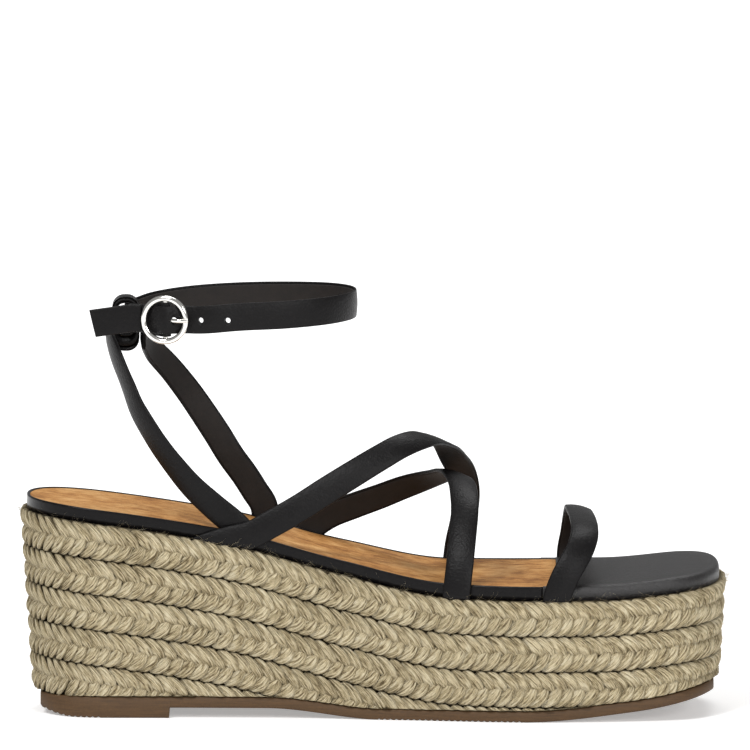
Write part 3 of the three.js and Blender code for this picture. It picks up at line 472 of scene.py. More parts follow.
class Shader:
    """A material under a principled shader, written as sums of Values."""

    def __init__(self, name, **constants):
        self.material = bpy.data.materials.new(name)
        self.material.use_nodes = True
        self.tree = self.material.node_tree
        self.surface = self.tree.nodes["Principled BSDF"]
        for socket, value in constants.items():
            self.surface.inputs[socket.replace("_", " ")].default_value = value

    def node(self, kind, settings=None, inputs=None, output=0):
        node = self.tree.nodes.new(kind)
        for key, value in (settings or {}).items():
            if key == "stops":
                self.set_stops(node.color_ramp, value)
            else:
                setattr(node, key, value)
        for key, value in (inputs or {}).items():
            if isinstance(value, Value):
                self.tree.links.new(value.socket, node.inputs[key])
            else:
                node.inputs[key].default_value = value
        return Value(self, node.outputs[output])

    def set_stops(self, ramp, stops):
        while len(ramp.elements) < len(stops):
            ramp.elements.new(1)
        for element, (position, color) in zip(ramp.elements, stops):
            element.position = position
            element.color = (*color, 1)

    def read(self, name, output="Vector"):
        return self.node("ShaderNodeAttribute", {"attribute_name": name}, output=output)

    def place(self):
        return self.node("ShaderNodeTexCoord", output="Object")

    def stretch(self, vector, scale):
        return self.node("ShaderNodeVectorMath", {"operation": "MULTIPLY"}, {0: vector, 1: scale})

    def noise(self, vector, scale, detail=3.0, roughness=0.55):
        inputs = {"Vector": vector, "Scale": scale, "Detail": detail, "Roughness": roughness}
        return self.node("ShaderNodeTexNoise", {}, inputs)

    def cells(self, vector, scale):
        settings = {"feature": "SMOOTH_F1"}
        return self.node("ShaderNodeTexVoronoi", settings, {"Vector": vector, "Scale": scale})

    def ramp(self, amount, stops):
        return self.node("ShaderNodeValToRGB", {"stops": stops}, {"Fac": amount})

    def mix(self, amount, first, second):
        colors = [c if isinstance(c, Value) else (*c, 1) for c in (first, second)]
        inputs = {0: amount, 6: colors[0], 7: colors[1]}
        return self.node("ShaderNodeMix", {"data_type": "RGBA"}, inputs, output=2)

    def band(self, value, low, high):
        """0 below low, 1 above high."""
        inputs = {"Value": value, "From Min": low, "From Max": high}
        return self.node("ShaderNodeMapRange", {}, inputs)

    def set(self, **links):
        for name, value in links.items():
            self.tree.links.new(value.socket, self.surface.inputs[name.replace("_", " ")])

    def bump(self, height, distance, strength):
        inputs = {"Height": height, "Distance": distance, "Strength": strength}
        self.set(Normal=self.node("ShaderNodeBump", {}, inputs))


def make_jute(name, shade=1.0):
    s = Shader(name, Roughness=0.92, Specular_IOR_Level=0.2)
    fibre = s.read("fibre")
    tone = s.read("tone", "Fac")
    # depth carries a painted shade mask: high in the crevices between rows and on the strands' sunken
    # sides.
    depth = s.read("depth", "Fac")
    streaks = s.noise(s.stretch(fibre, (0.2, 2.6, 1.0)), 1.0, 6.0, 0.72)
    blotches = s.noise(s.place(), 120.0, 2.0)
    amount = streaks * 2.6 + tone * 0.1 + blotches * 0.2 - 1.0
    color = s.ramp(amount, [
        (0.14, (0.15 * shade, 0.108 * shade, 0.055 * shade)),
        (0.32, (0.47 * shade, 0.375 * shade, 0.215 * shade)),
        (0.52, (0.74 * shade, 0.62 * shade, 0.39 * shade)),
        (0.78, (0.95 * shade, 0.85 * shade, 0.62 * shade)),
    ])
    # Painted shade: where that mask is high the colour is mixed towards dark brown, as shadow in the
    # crevices.
    painted_crevice_shade = s.band(depth, 0.35, 1.0)
    s.set(Base_Color=s.mix(painted_crevice_shade * 0.85, color, (0.07, 0.05, 0.026)))
    threads = s.noise(s.stretch(fibre, (0.12, 3.4, 1.0)), 1.0, 4.0, 0.7)
    s.bump(threads * 0.8 + streaks * 1.4, 0.0018, 1.0)
    return s.material


def make_black_leather(name, roughness=0.34, grain=1.0, tint=(0.0045, 0.004, 0.0042), gloss=0.15):
    s = Shader(name, Specular_IOR_Level=gloss)
    place = s.place()
    pebbles = s.cells(place, 1500.0)
    fine = s.noise(place, 5200.0, 3.0)
    creases = s.noise(s.stretch(place, (1.0, 1.0, 1.6)), 420.0, 4.0, 0.65)
    worn = s.band(creases, 0.52, 0.78)
    s.set(Base_Color=s.mix(worn * 0.4, tint, (0.012, 0.010, 0.0095)))
    s.set(Roughness=roughness - 0.05 + fine * 0.1 + creases * 0.1)
    s.bump(pebbles * 0.6 + fine * 0.3 + creases * 0.8, 0.00022 * grain, 0.8)
    return s.material


def make_lining(name):
    s = Shader(name, Specular_IOR_Level=0.35)
    place = s.place()
    nap = s.noise(place, 2600.0, 4.0, 0.7)
    patches = s.noise(place, 260.0, 3.0)
    s.set(Base_Color=s.ramp(nap * 0.6 + patches * 0.4, [
        (0.3, (0.003, 0.0022, 0.0018)),
        (0.7, (0.014, 0.0095, 0.0075)),
    ]))
    s.set(Roughness=0.58 + nap * 0.22)
    s.bump(nap, 0.00012, 0.7)
    return s.material


def make_tan_sock(name):
    s = Shader(name, Specular_IOR_Level=0.25)
    place = s.place()
    wipe = s.noise(s.stretch(place, (0.8, 1.25, 1.0)), 210.0, 5.0, 0.7)
    clouds = s.noise(place, 48.0, 4.0, 0.6)
    nap = s.noise(place, 3000.0, 4.0, 0.7)
    amount = wipe * 0.5 + clouds * 0.45 + nap * 0.3 - 0.13
    specks = s.band(s.noise(place, 900.0, 2.0), 0.64, 0.74)
    tan = s.ramp(amount, [
        (0.38, (0.22, 0.082, 0.014)),
        (0.49, (0.47, 0.215, 0.055)),
        (0.62, (0.68, 0.39, 0.15)),
    ])
    s.set(Base_Color=s.mix(specks * 0.6, tan, (0.12, 0.042, 0.008)))
    s.set(Roughness=0.5 + nap * 0.25)
    s.bump(nap * 0.6 + wipe * 0.5, 0.0002, 0.6)
    return s.material


def make_rubber(name):
    s = Shader(name, Specular_IOR_Level=0.4)
    place = s.place()
    specks = s.noise(place, 1800.0, 4.0, 0.7)
    moulding = s.noise(s.stretch(place, (0.5, 0.5, 8.0)), 220.0, 3.0)
    s.set(Base_Color=s.ramp(specks * 0.5 + moulding * 0.5, [
        (0.3, (0.042, 0.0205, 0.006)),
        (0.7, (0.096, 0.048, 0.016)),
    ]))
    s.set(Roughness=0.52 + specks * 0.25)
    s.bump(specks * 0.5 + moulding * 0.5, 0.0002, 0.5)
    return s.material


def make_nickel(name):
    s = Shader(name, Metallic=1.0)
    place = s.place()
    scratches = s.noise(s.stretch(place, (1.0, 6.0, 1.0)), 1600.0, 3.0)
    s.set(Base_Color=s.mix(scratches * 0.4, (0.86, 0.845, 0.81), (0.70, 0.68, 0.63)))
    s.set(Roughness=0.07 + scratches * 0.12)
    s.bump(scratches, 0.00001, 0.3)
    return s.material


def make_plain(name, dark, light, scale, roughness, distance=0.0003, metallic=0.0):
    """A hidden or simple stuff: two shades, a grain size and a roughness."""
    s = Shader(name, Metallic=metallic)
    grain = s.noise(s.place(), scale, 4.0, 0.65)
    s.set(Base_Color=s.ramp(grain, [(0.35, dark), (0.65, light)]))
    s.set(Roughness=roughness - 0.05 + grain * 0.1)
    s.bump(grain, distance, 0.6)
    return s.material


jute = make_jute("jute")
# A darker copy of the jute (shade 0.45), used as painted shade on the band behind the rows.
jute_painted_shade = make_jute("jute_painted_shade", 0.45)
black_leather = make_black_leather("black_leather")
patent_binding = make_black_leather("patent_binding", 0.24, 0.35)
padded_leather = make_black_leather("padded_leather", 0.4, 1.5, (0.012, 0.0108, 0.0108), 0.5)
lining_leather = make_lining("lining_leather")
tan_sock = make_tan_sock("tan_sock")
sole_rubber = make_rubber("sole_rubber")
nickel = make_nickel("polished_nickel")


def finish_piece(piece, material, slot, *nodes):
    piece.data.materials.clear()
    piece.data.materials.append(material)
    if nodes:
        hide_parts(*nodes)
    return piece


def dress_hidden_parts():
    stuffs = {
        "wedge_core": make_plain("cork", (0.30, 0.19, 0.09), (0.55, 0.38, 0.2), 700.0, 0.85),
        "shank": make_plain("shank_steel", (0.4, 0.4, 0.41), (0.6, 0.6, 0.61), 900.0, 0.35, 0.00002, 1.0),
        "insole_board": make_plain("insole_board", (0.28, 0.2, 0.12), (0.42, 0.32, 0.2), 1500.0, 0.85),
        "footbed_foam": make_plain("footbed_foam", (0.7, 0.66, 0.58), (0.85, 0.82, 0.74), 2500.0, 0.9),
    }
    for node, material in stuffs.items():
        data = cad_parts[node].data
        data.materials.clear()
        data.materials.append(material)


# ---- Braid ----

STRAND_PITCH = 0.0044
STRAND_SLANT = 0.0066
STRAND_WIDTH = 0.0044
STRAND_DEPTH = 0.0021
STRAND_TILT = 0.3
ROW_BULGE = 0.0010
ROW_HEIGHT = BRAID_PITCH - CLEARANCE
STRAND_START = 0.015  # shares of the row's height, where a strand begins and ends
STRAND_REACH = 0.57
STRAND_SINK = 0.0029  # how far the strands' middle lies inside the outline
STRAND_ARCH = 0.0006
STRAND_DIP = 0.0011
STRAND_STEPS = 11
STRAND_SIDES = 24


def wall_point(s, depth, outward):
    """A point on the braid wall: run round the shoe, depth below its top, and height off it."""
    x, _ = outline.place(s, 0)
    limit = braid_top(x) - sole_top(x) - CLEARANCE
    depth = np.minimum(depth, limit)
    px, py = outline.place(s, BATTER * depth - outward)
    return np.stack([px, py, braid_top(px) - depth], -1)


def braid_row(row):
    """One row of plait: two ranks of strands that meet along its middle, over a dark band of painted
    shade.
    """
    rng = np.random.default_rng(40 + row)
    count = int(outline.length / STRAND_PITCH)
    pitch = outline.length / count
    t = np.linspace(0, 1, STRAND_STEPS)
    turn = np.linspace(0, 2 * math.pi, STRAND_SIDES, endpoint=False)
    points, faces, fibre, tones, painted_shade_masks = [], [], [], [], []
    total = 0
    for rank in (0, 1):
        for k in range(count):
            start = (k + 0.5 * rank + rng.normal(0, 0.05)) * pitch
            reach = STRAND_REACH + rng.normal(0, 0.015)
            v = STRAND_START + (reach - STRAND_START) * t
            if rank:
                v = 1 - v
            depth = row * BRAID_PITCH + v * ROW_HEIGHT
            bend = STRAND_SLANT * (t + 0.16 * np.sin(math.pi * t))
            s = start + bend
            x, _ = outline.place(s, 0)
            if np.all(row * BRAID_PITCH + np.minimum(v, 0.5) * ROW_HEIGHT > braid_top(x) - sole_top(x)):
                continue
            swell = np.clip(np.sin(math.pi * (0.12 + 0.80 * t)), 0, 1) ** 0.5
            wide = STRAND_WIDTH * (1 + rng.normal(0, 0.06)) * swell
            thick = STRAND_DEPTH * (0.55 + 0.45 * swell)
            lift = ROW_BULGE * (1 - (2 * v - 1) ** 2) - STRAND_SINK + rng.normal(0, 0.00012)
            lift = lift + STRAND_ARCH * np.sin(math.pi * np.clip(t * 1.15, 0, 1)) - STRAND_DIP * t**5
            run_s, run_d = np.gradient(s), np.gradient(depth)
            size = np.hypot(run_s, run_d)
            side_s, side_d = -run_d / size, run_s / size
            offset = np.outer(wide / 2, np.cos(turn))
            raised = np.sign(np.sin(turn)) * np.abs(np.sin(turn)) ** 0.6
            up = np.outer(thick / 2, raised) + STRAND_TILT * offset * (1 if rank else -1)
            ss = s[:, None] + side_s[:, None] * offset
            dd = depth[:, None] + side_d[:, None] * offset
            dd = np.clip(dd, row * BRAID_PITCH - 0.0001, row * BRAID_PITCH + ROW_HEIGHT + 0.0001)
            frayed = rng.normal(0, 0.00005, up.shape)
            ring = wall_point(ss, dd, lift[:, None] + up + frayed)
            points.append(ring.reshape(-1, 3))
            faces += grid_faces(STRAND_STEPS, STRAND_SIDES, total)
            first = list(range(total, total + STRAND_SIDES))
            faces += [tuple(reversed(first))]
            faces += [tuple(f + (STRAND_STEPS - 1) * STRAND_SIDES for f in first)]
            total += STRAND_STEPS * STRAND_SIDES
            length = np.repeat(t * 9.0, STRAND_SIDES)
            around = np.tile(turn / (2 * math.pi) * 9.0, STRAND_STEPS)
            number = np.full(len(length), k * 1.31 + rank * 50)
            fibre.append(np.stack([length + k * 3.7, around, number], 1))
            tones.append(np.full(len(length), rng.uniform(0, 1)))
            # Painted shade mask, written as the depth attribute: high where strands dip to the row's top
            # and bottom edges and on each strand's inward-facing half.
            edge = np.abs(2 * (dd - row * BRAID_PITCH) / ROW_HEIGHT - 1) ** 8
            painted_underside_shade = np.clip(0.55 - raised[None, :] * 0.75, 0, 1)
            painted_shade_masks.append(np.clip(np.maximum(edge * 0.55, painted_underside_shade), 0, 1).reshape(-1))
    piece = mesh_piece(f"jute_braid_row_{row + 1}", np.concatenate(points), faces)
    write_values(piece, "fibre", np.concatenate(fibre), "FLOAT_VECTOR")
    write_values(piece, "tone", np.concatenate(tones))
    write_values(piece, "depth", np.concatenate(painted_shade_masks))
    return finish_piece(piece, jute, "jute", f"jute_braid_{row + 1}")


def braid_shade_band():
    """A dark band behind the rows: painted shade, seen in the gaps between strands."""
    s = np.linspace(0, outline.length, 420, endpoint=False)
    x, _ = outline.place(s, 0)
    limit = braid_top(x) - sole_top(x) - CLEARANCE
    rings = []
    for inset, share in ((0.0045, 0), (0.0033, 0), (0.0033, 1), (0.0045, 1)):
        rings.append(wall_point(s, limit * share, -inset))
    piece = skin("braid_shade_band", np.stack(rings, 1), closed=True)
    count = len(piece.data.vertices)
    write_values(piece, "fibre", np.asarray([v.co[:] for v in piece.data.vertices]) * 1000, "FLOAT_VECTOR")
    write_values(piece, "tone", np.full(count, 0.3))
    # Painted shade mask set high over the whole band.
    write_values(piece, "depth", np.full(count, 0.8))
    return finish_piece(piece, jute_painted_shade, "jute")


HAIR_COUNT = 3000


def loose_fibres():
    """Hairs that stand off the plait: thin three-sided tubes, crowded along the top edge."""
    rng = random.Random(7)
    points, faces = [], []
    joints, sides = 6, 3
    for _ in range(HAIR_COUNT):
        at_top = rng.random() < 0.3
        s = rng.uniform(0, outline.length)
        x, _y = outline.place(s, 0)
        wall = float(braid_top(x) - sole_top(x))
        depth = rng.uniform(-0.0002, 0.0015) if at_top else rng.uniform(0.001, wall - 0.001)
        length = rng.uniform(0.002, 0.0055)
        heading = rng.uniform(0, 2 * math.pi)
        if at_top:
            heading = -rng.uniform(0.05, 0.6) if rng.random() < 0.8 else rng.uniform(-2.9, -0.6)
        curl = rng.uniform(-0.8, 0.8)
        rise = rng.uniform(0.0002, 0.0014)
        thick = rng.uniform(0.00002, 0.00004)
        offset = len(points)
        for j in range(joints):
            t = j / (joints - 1)
            angle = heading + curl * t
            ss = s + length * t * math.cos(angle)
            dd = depth + length * t * math.sin(angle)
            out = -0.0003 + rise * math.sin(t * 2.4) + 0.0005 * t
            centre = wall_point(np.array([ss]), np.array([dd]), np.array([out]))[0]
            for side in range(sides):
                turn = 2 * math.pi * side / sides
                radius = thick * (1 - 0.6 * t)
                shift = (0, radius * math.cos(turn), radius * math.sin(turn))
                points.append(centre + np.array(shift))
        faces += grid_faces(joints, sides, offset)
        faces.append((offset, offset + 2, offset + 1))
        end = offset + (joints - 1) * sides
        faces.append((end, end + 1, end + 2))
    piece = mesh_piece("loose_fibres", points, faces)
    count = len(piece.data.vertices)
    write_values(piece, "fibre", np.asarray(points) * 1000, "FLOAT_VECTOR")
    write_values(piece, "tone", np.full(count, 0.95))
    write_values(piece, "depth", np.zeros(count))
    return finish_piece(piece, jute, "jute")


# ---- Footbed and sole ----


def sole_ring(x, half_profile, across_steps):
    """A ring across the sole at x. half_profile lists (inset, height function) from the bottom up."""
    edges = []
    for side in (-1, 1):
        slope = side_slope(x, side, 0.0005)
        size = math.hypot(1, slope)
        edge = []
        for inset, height in half_profile:
            px = x + inset * slope / size
            px = min(max(px, -HALF_LENGTH + inset), HALF_LENGTH - inset)
            py = max(float(half_width(x, side)) - inset / size, 0.0)
            edge.append((px, side * py, float(height(px))))
        edges.append(edge)
    lateral, medial = edges
    start, end = np.array(lateral[-1]), np.array(medial[-1])
    middle = [tuple(start + (end - start) * (i / across_steps)) for i in range(1, across_steps)]
    return [*lateral, *middle, *reversed(medial)]


def lowered(height, drop):
    return lambda x: height(x) - drop


sock_top = lowered(footbed_top, SOCK_BELOW_TOP)
board_bottom = lowered(braid_top, -CLEARANCE)


# Paired edges stop this far from the sole's tips, along the outline.
SHORT_OF_TIP = 0.0016


def paired_rings(profile, lateral, medial, across_steps, crown):
    """Rings between runs on both sides of the outline, so that rounded ends stay round."""
    rings = []
    for runs in zip(lateral, medial):
        edges = []
        for run in runs:
            spots = [outline.place(run, inset) for inset, _ in profile]
            edges.append([(x, y, float(height(x))) for (x, y), (_, height) in zip(spots, profile)])
        start, end = np.array(edges[0][-1]), np.array(edges[1][-1])
        width = float(np.linalg.norm(end - start))
        middle = []
        for i in range(1, across_steps):
            t = i / across_steps
            point = start + (end - start) * t
            point[2] += crown * min(1.0, width / 0.05) * (4 * t * (1 - t)) ** 0.5
            middle.append(tuple(point))
        rings.append([*edges[0], *middle, *reversed(edges[1])])
    return rings


def sock():
    inset = FOOTBED_INSET + BINDING_THICKNESS - 0.0001
    profile = [
        (inset, lowered(sock_top, 0.0008)),
        (inset, lowered(sock_top, 0.00025)),
        (inset + 0.0004, sock_top),
    ]
    front = COVER_TOP_START - CLEARANCE
    lateral = np.linspace(SHORT_OF_TIP, outline.nearest_run(front, -1), 170)
    medial = np.linspace(outline.length - SHORT_OF_TIP, outline.nearest_run(front, 1), 170)
    piece = skin("tan_sock", paired_rings(profile, lateral, medial, 14, -0.0004))
    finish_piece(piece, tan_sock, "tan_leather", "sock_lining")
    return piece


def edge_band(name, runs, profile, level):
    """A band along the footbed's edge. profile lists (inset, drop), with no drop down at the board."""
    rings = []
    for inset, drop in profile:
        x, y = outline.place(runs, inset)
        z = board_bottom(x) if drop is None else sock_top(x) + level - drop
        rings.append(np.stack([x, y, z], 1))
    return skin(name, np.stack(rings, 1))


def binding():
    """The black edge band with its rolled bead, round the heel from one side to the other."""
    start = outline.nearest_run(COVER_SIDE_START, -1)
    end = outline.nearest_run(COVER_SIDE_START, 1) - outline.length
    runs = np.linspace(end, start, 420)
    middle = FOOTBED_INSET + BINDING_THICKNESS / 2
    radius = BINDING_THICKNESS / 2
    profile = [
        (FOOTBED_INSET + 0.0001, None),
        (FOOTBED_INSET, 0.0028),
        (FOOTBED_INSET + 0.00005, 0.0013),
    ]
    for i in range(9):
        turn = math.pi * i / 8
        drop = radius - radius * math.sin(turn)
        profile.append((middle - radius * math.cos(turn), drop))
    profile.append((FOOTBED_INSET + BINDING_THICKNESS, None))
    piece = edge_band("footbed_binding_band", runs, profile, BINDING_BEAD)
    return finish_piece(piece, patent_binding, "black_leather", "footbed_binding")


def toe_cover():
    """The padded cap: a skirt, a rounded edge and a slightly crowned top over the toes."""
    top = lowered(sock_top, -TOE_PAD)
    radius = 0.0028
    profile = [(FOOTBED_INSET, board_bottom), (FOOTBED_INSET, lowered(top, radius))]
    for i in range(1, 9):
        turn = math.pi / 2 * i / 8
        inset = FOOTBED_INSET + radius * (1 - math.cos(turn))
        profile.append((inset, lowered(top, radius * (1 - math.sin(turn)))))
    tip_run = outline.at[int(np.argmax(outline.points[:, 0]))]
    lateral = np.linspace(outline.nearest_run(COVER_TOP_START, -1), tip_run - SHORT_OF_TIP, 110)
    medial = np.linspace(outline.nearest_run(COVER_TOP_START, 1), tip_run + SHORT_OF_TIP, 110)
    piece = skin("padded_toe_cover", paired_rings(profile, lateral, medial, 18, 0.0005))
    finish_piece(piece, padded_leather, "black_leather", "toe_cover")
    for side in (-1, 1):
        cover_skirt(side)


def cover_skirt(side):
    """The cover's edge runs back past its top, down the footbed's side."""
    runs = [outline.nearest_run(x, side) for x in (COVER_SIDE_START, COVER_TOP_START + 0.0006)]
    runs = np.linspace(min(runs), max(runs), 24)
    radius = (BINDING_THICKNESS + 0.0002) / 2
    profile = [(FOOTBED_INSET + 0.0001, None), (FOOTBED_INSET - 0.0001, 0.0026)]
    for i in range(9):
        turn = math.pi * i / 8
        profile.append((FOOTBED_INSET + radius * (1 - math.cos(turn)), radius * (1 - math.sin(turn))))
    profile.append((FOOTBED_INSET + 2 * radius, None))
    name = "outer" if side < 0 else "inner"
    piece = edge_band(f"toe_cover_skirt_{name}", runs, profile, BINDING_BEAD + 0.0002)
    finish_piece(piece, padded_leather, "black_leather")


def outsole():
    """Rubber sole with its heel block, rounded lower edge and a fine ribbed tread."""
    ribs = 0.0021

    def tread(x):
        ribbed = (x < -0.098) | ((x > 0.002) & (x < 0.053))
        wave = np.abs(np.mod(x / ribs, 1) - 0.5) * 2
        return sole_bottom(x) + np.where(ribbed, 0.00045 * np.clip(wave * 2.2 - 1, 0, 1), 0)

    even = np.linspace(-HALF_LENGTH + SOLE_INSET + 0.0016, HALF_LENGTH - SOLE_INSET - 0.0006, 620)
    breast = HEEL_BLOCK_FRONT + np.array([-0.00005, 0.00005])
    rings = []
    for x in np.sort(np.concatenate([even, breast])):
        wall = float(braid_top(x) - sole_top(x))
        inset = SOLE_INSET + BATTER * wall
        profile = [
            (inset + 0.0007, tread),
            (inset + 0.00018, lambda at: tread(at) + 0.00022),
            (inset, lambda at: sole_bottom(at) + 0.0009),
            (inset, lambda at: sole_top(at) - 0.0004),
            (inset + 0.0003, sole_top),
        ]
        rings.append(sole_ring(x, profile, 6))
    piece = skin("rubber_outsole", rings)
    return finish_piece(piece, sole_rubber, "sole_rubber", "outsole")


# ---- Straps over the foot ----


def on_foot(share, side, rise, shift=0.0):
    """A place on the foot. Rise and shift are in millimetres."""
    x = along(share)
    reach = half_width(x, side) - FOOTBED_INSET + STRAP_CLEARANCE + STRAP_THICKNESS / 2
    y = side * reach - math.copysign(shift, side) / 1000
    return (x, float(y), float(footbed_top(x)) + rise / 1000)


TUCK_MM = TUCK_IN * 1000

upper_cross_path = [
    on_foot(*spot)
    for spot in (
        (0.222, -1, -14.5, TUCK_MM),
        (0.257, -1, -8.4),
        (0.294, -1, -3.5),
        (0.328, -1, 0.6),
        (0.354, -1, 5.9),
        (0.396, -0.97, 15),
        (0.436, -0.9, 24.2),
        (0.476, -0.81, 32.8),
        (0.51, -0.7, 39.9),
        (0.539, -0.58, 45.4),
        (0.568, -0.37, 48.6),
        (0.586, -0.12, 48),
        (0.602, 0.12, 45),
        (0.614, 0.35, 39.5),
        (0.627, 0.57, 32.6),
        (0.632, 0.71, 25.1),
        (0.628, 0.87, 14.6),
        (0.621, 0.985, 5.4),
        (0.617, 1, -3.6),
        (0.616, 1, -11.5, TUCK_MM),
    )
]
lower_cross_path = [
    on_foot(*spot)
    for spot in (
        (0.392, 1, -12.6, TUCK_MM),
        (0.399, 1, -4.6),
        (0.414, 1, 1.7),
        (0.438, 0.97, 7.6),
        (0.473, 0.9, 13.4),
        (0.51, 0.81, 19.4),
        (0.539, 0.71, 24.4),
        (0.567, 0.58, 28.8),
        (0.59, 0.4, 32.3),
        (0.606, 0.19, 34.9),
        (0.617, -0.05, 35.2),
        (0.625, -0.26, 33.8),
        (0.628, -0.47, 30.6),
        (0.629, -0.65, 25.6),
        (0.626, -0.82, 17.5),
        (0.622, -0.95, 7.9),
        (0.617, -1, -3.6),
        (0.615, -1, -11.5, TUCK_MM),
    )
]
toe_path = [
    on_foot(*spot)
    for spot in (
        (0.757, -1, -11.5, TUCK_MM),
        (0.759, -1, -3.6),
        (0.769, -1, 3.5),
        (0.78, -0.975, 8.6),
        (0.79, -0.92, 12.8),
        (0.797, -0.82, 17.2),
        (0.798, -0.66, 20.3),
        (0.796, -0.35, 21.9),
        (0.793, 0, 22.2),
        (0.791, 0.35, 21.6),
        (0.79, 0.66, 19.6),
        (0.788, 0.82, 15.2),
        (0.785, 0.94, 9),
        (0.781, 1, 3),
        (0.78, 1, -4),
        (0.78, 1, -11.5, TUCK_MM),
    )
]

KEEPER_X = -HALF_LENGTH + ANKLE_SET_BACK
ANKLE_Z = float(footbed_top(KEEPER_X)) + ANKLE_RISE
KEEPER_Z = ANKLE_Z - KEEPER_DROP
KEEPER_SEAT = KEEPER_DEPTH / 2 + CLEARANCE + STRAP_THICKNESS / 2
UNDER_MM = (STRAP_THICKNESS + STRAP_CLEARANCE) * 1000


def near_keeper(x, y, z):
    return (KEEPER_X + x, y, KEEPER_Z + z)


lateral_heel_path = [
    on_foot(share, -side, rise, UNDER_MM)
    for share, side, rise in (
        (0.331, 1, -5),
        (0.318, 1, -0.3),
        (0.305, 1, 2.7),
        (0.275, 0.97, 7.6),
        (0.245, 0.96, 13.3),
        (0.221, 0.94, 19.4),
        (0.2, 0.92, 25.6),
        (0.182, 0.87, 31.9),
        (0.166, 0.78, 38.2),
        (0.155, 0.68, 44.6),
    )
] + [
    near_keeper(-KEEPER_SEAT + 0.0036, -0.016, -0.0128),
    near_keeper(-KEEPER_SEAT + 0.0013, -0.0105, -0.0075),
    near_keeper(-KEEPER_SEAT, -0.0043, -0.004),
    near_keeper(-KEEPER_SEAT, 0.002, -0.0022),
]
medial_heel_path = [
    on_foot(*spot)
    for spot in (
        (0.348, 1, -12, TUCK_MM),
        (0.348, 1, -3.8),
        (0.345, 1, 4.5),
        (0.332, 0.99, 9.2),
        (0.318, 0.98, 14),
        (0.298, 0.96, 20),
        (0.279, 0.94, 27),
        (0.259, 0.9, 34),
        (0.238, 0.85, 41),
        (0.213, 0.74, 48.5),
    )
] + [
    near_keeper(0.0092, 0.017, -0.0116),
    near_keeper(KEEPER_SEAT + 0.001, 0.0105, -0.008),
    near_keeper(KEEPER_SEAT, 0.0043, -0.0056),
    near_keeper(KEEPER_SEAT, -0.0025, -0.0046),
]


def away_from_foot(path, tilt):
    """Outwards from a line below the strap's top. tilt leans its top forward with the foot."""
    top = max(p[2] for p in path)

    def outward(spot, ahead):
        side = 1 if spot[1] > 0 else -1
        edge = np.array([-side_slope(spot[0], side), side, 0.0])
        out = edge / np.linalg.norm(edge) * abs(spot[1])
        above = spot[2] - top + CROWN
        out[2] = (above + math.hypot(above, TURN_EASE)) / 2
        out[0] += tilt * out[2]
        return out

    return outward


def away_from_heel(share):
    return lambda spot, ahead: (min(0.0, spot[0] - along(share)), spot[1], 0.0)


HALF_STRAP = STRAP_WIDTH / 2
OUT = STRAP_THICKNESS / 2


def foot_strap(node, path, outward, steps):
    """Turned-edge leather outside, with the lining let in between its edges inside."""
    leather = rounded_section(HALF_STRAP, -OUT + 0.00015, OUT - 0.0008, 0.0006, 0.0008)
    lining = rounded_section(LINING_WIDTH / 2, -OUT - 0.0001, -OUT + LINING_THICKNESS, 0.00025)
    strap = sweep(f"{node}_leather", path, steps, outward, leather, behind_braid=True)
    finish_piece(strap, black_leather, "black_leather", node)
    inside = sweep(f"{node}_inside", path, steps, outward, lining, behind_braid=True)
    finish_piece(inside, lining_leather, "black_lining", f"{node}_lining")


def foot_straps():
    foot_strap("upper_cross_strap", upper_cross_path, away_from_foot(upper_cross_path, 0.3), 190)
    foot_strap("lower_cross_strap", lower_cross_path, away_from_foot(lower_cross_path, 0.25), 170)
    foot_strap("toe_strap", toe_path, away_from_foot(toe_path, 0.15), 150)
    foot_strap("medial_heel_strap", medial_heel_path, away_from_heel(0.3), 130)
    foot_strap("lateral_heel_strap", lateral_heel_path, away_from_heel(0.33), 130)


def keeper_loop():
    """A short leather tube that stands behind the ankle, sewn shut at its foot."""

    def outline_of(half_x, half_z, radius, lift=0.0, count=10):
        spots = []
        for cx, cz, start in ((1, -1, -90), (1, 1, 0), (-1, 1, 90), (-1, -1, 180)):
            for i in range(count + 1):
                turn = math.radians(start + 90 * i / count)
                x = cx * (half_x - radius) + radius * math.cos(turn)
                spots.append((x, lift + cz * (half_z - radius) + radius * math.sin(turn)))
        return spots

    radius = KEEPER_DEPTH / 2 - 0.0006
    outer = outline_of(KEEPER_DEPTH / 2, KEEPER_HEIGHT / 2, radius)
    inner_x = KEEPER_DEPTH / 2 - KEEPER_WALL
    inner_z = (KEEPER_HEIGHT - KEEPER_WALL - KEEPER_FOOT) / 2 - KEEPER_PADDING
    inner = outline_of(inner_x, inner_z, radius - KEEPER_WALL, (KEEPER_FOOT - KEEPER_WALL) / 2)
    section = rounded_section(KEEPER_WIDTH / 2, 0, 1, 0.28, flat_steps=4)
    rings = []
    for (ox, oz), (ix, iz) in zip(outer, inner):
        ring = []
        for across, through_wall in section:
            y = max(-1.0, min(1.0, across / (KEEPER_WIDTH / 2))) * KEEPER_WIDTH / 2
            x = ix + (ox - ix) * through_wall
            z = iz + (oz - iz) * through_wall
            ring.append((KEEPER_X + x, y, KEEPER_Z + z))
        rings.append(ring)
    piece = skin("keeper_leather", rings, closed=True)
    return finish_piece(piece, black_leather, "black_leather", "keeper_loop")


# ---- Ankle strap and buckle ----

BUCKLE_CENTRE = Vector((KEEPER_X + BUCKLE_FORWARD, -BUCKLE_OUT, ANKLE_Z + BUCKLE_LIFT))
FORWARD = Vector((math.cos(BUCKLE_YAW), -math.sin(BUCKLE_YAW), 0))
OUTWARD = Vector((-math.sin(BUCKLE_YAW), -math.cos(BUCKLE_YAW), 0))
UP = Vector((0, 0, 1))


def at_buckle(x, out, lift=0.0):
    """A place in the buckle's own directions: forward, out of the shoe, up."""
    return tuple(BUCKLE_CENTRE + FORWARD * x + OUTWARD * out + UP * lift)


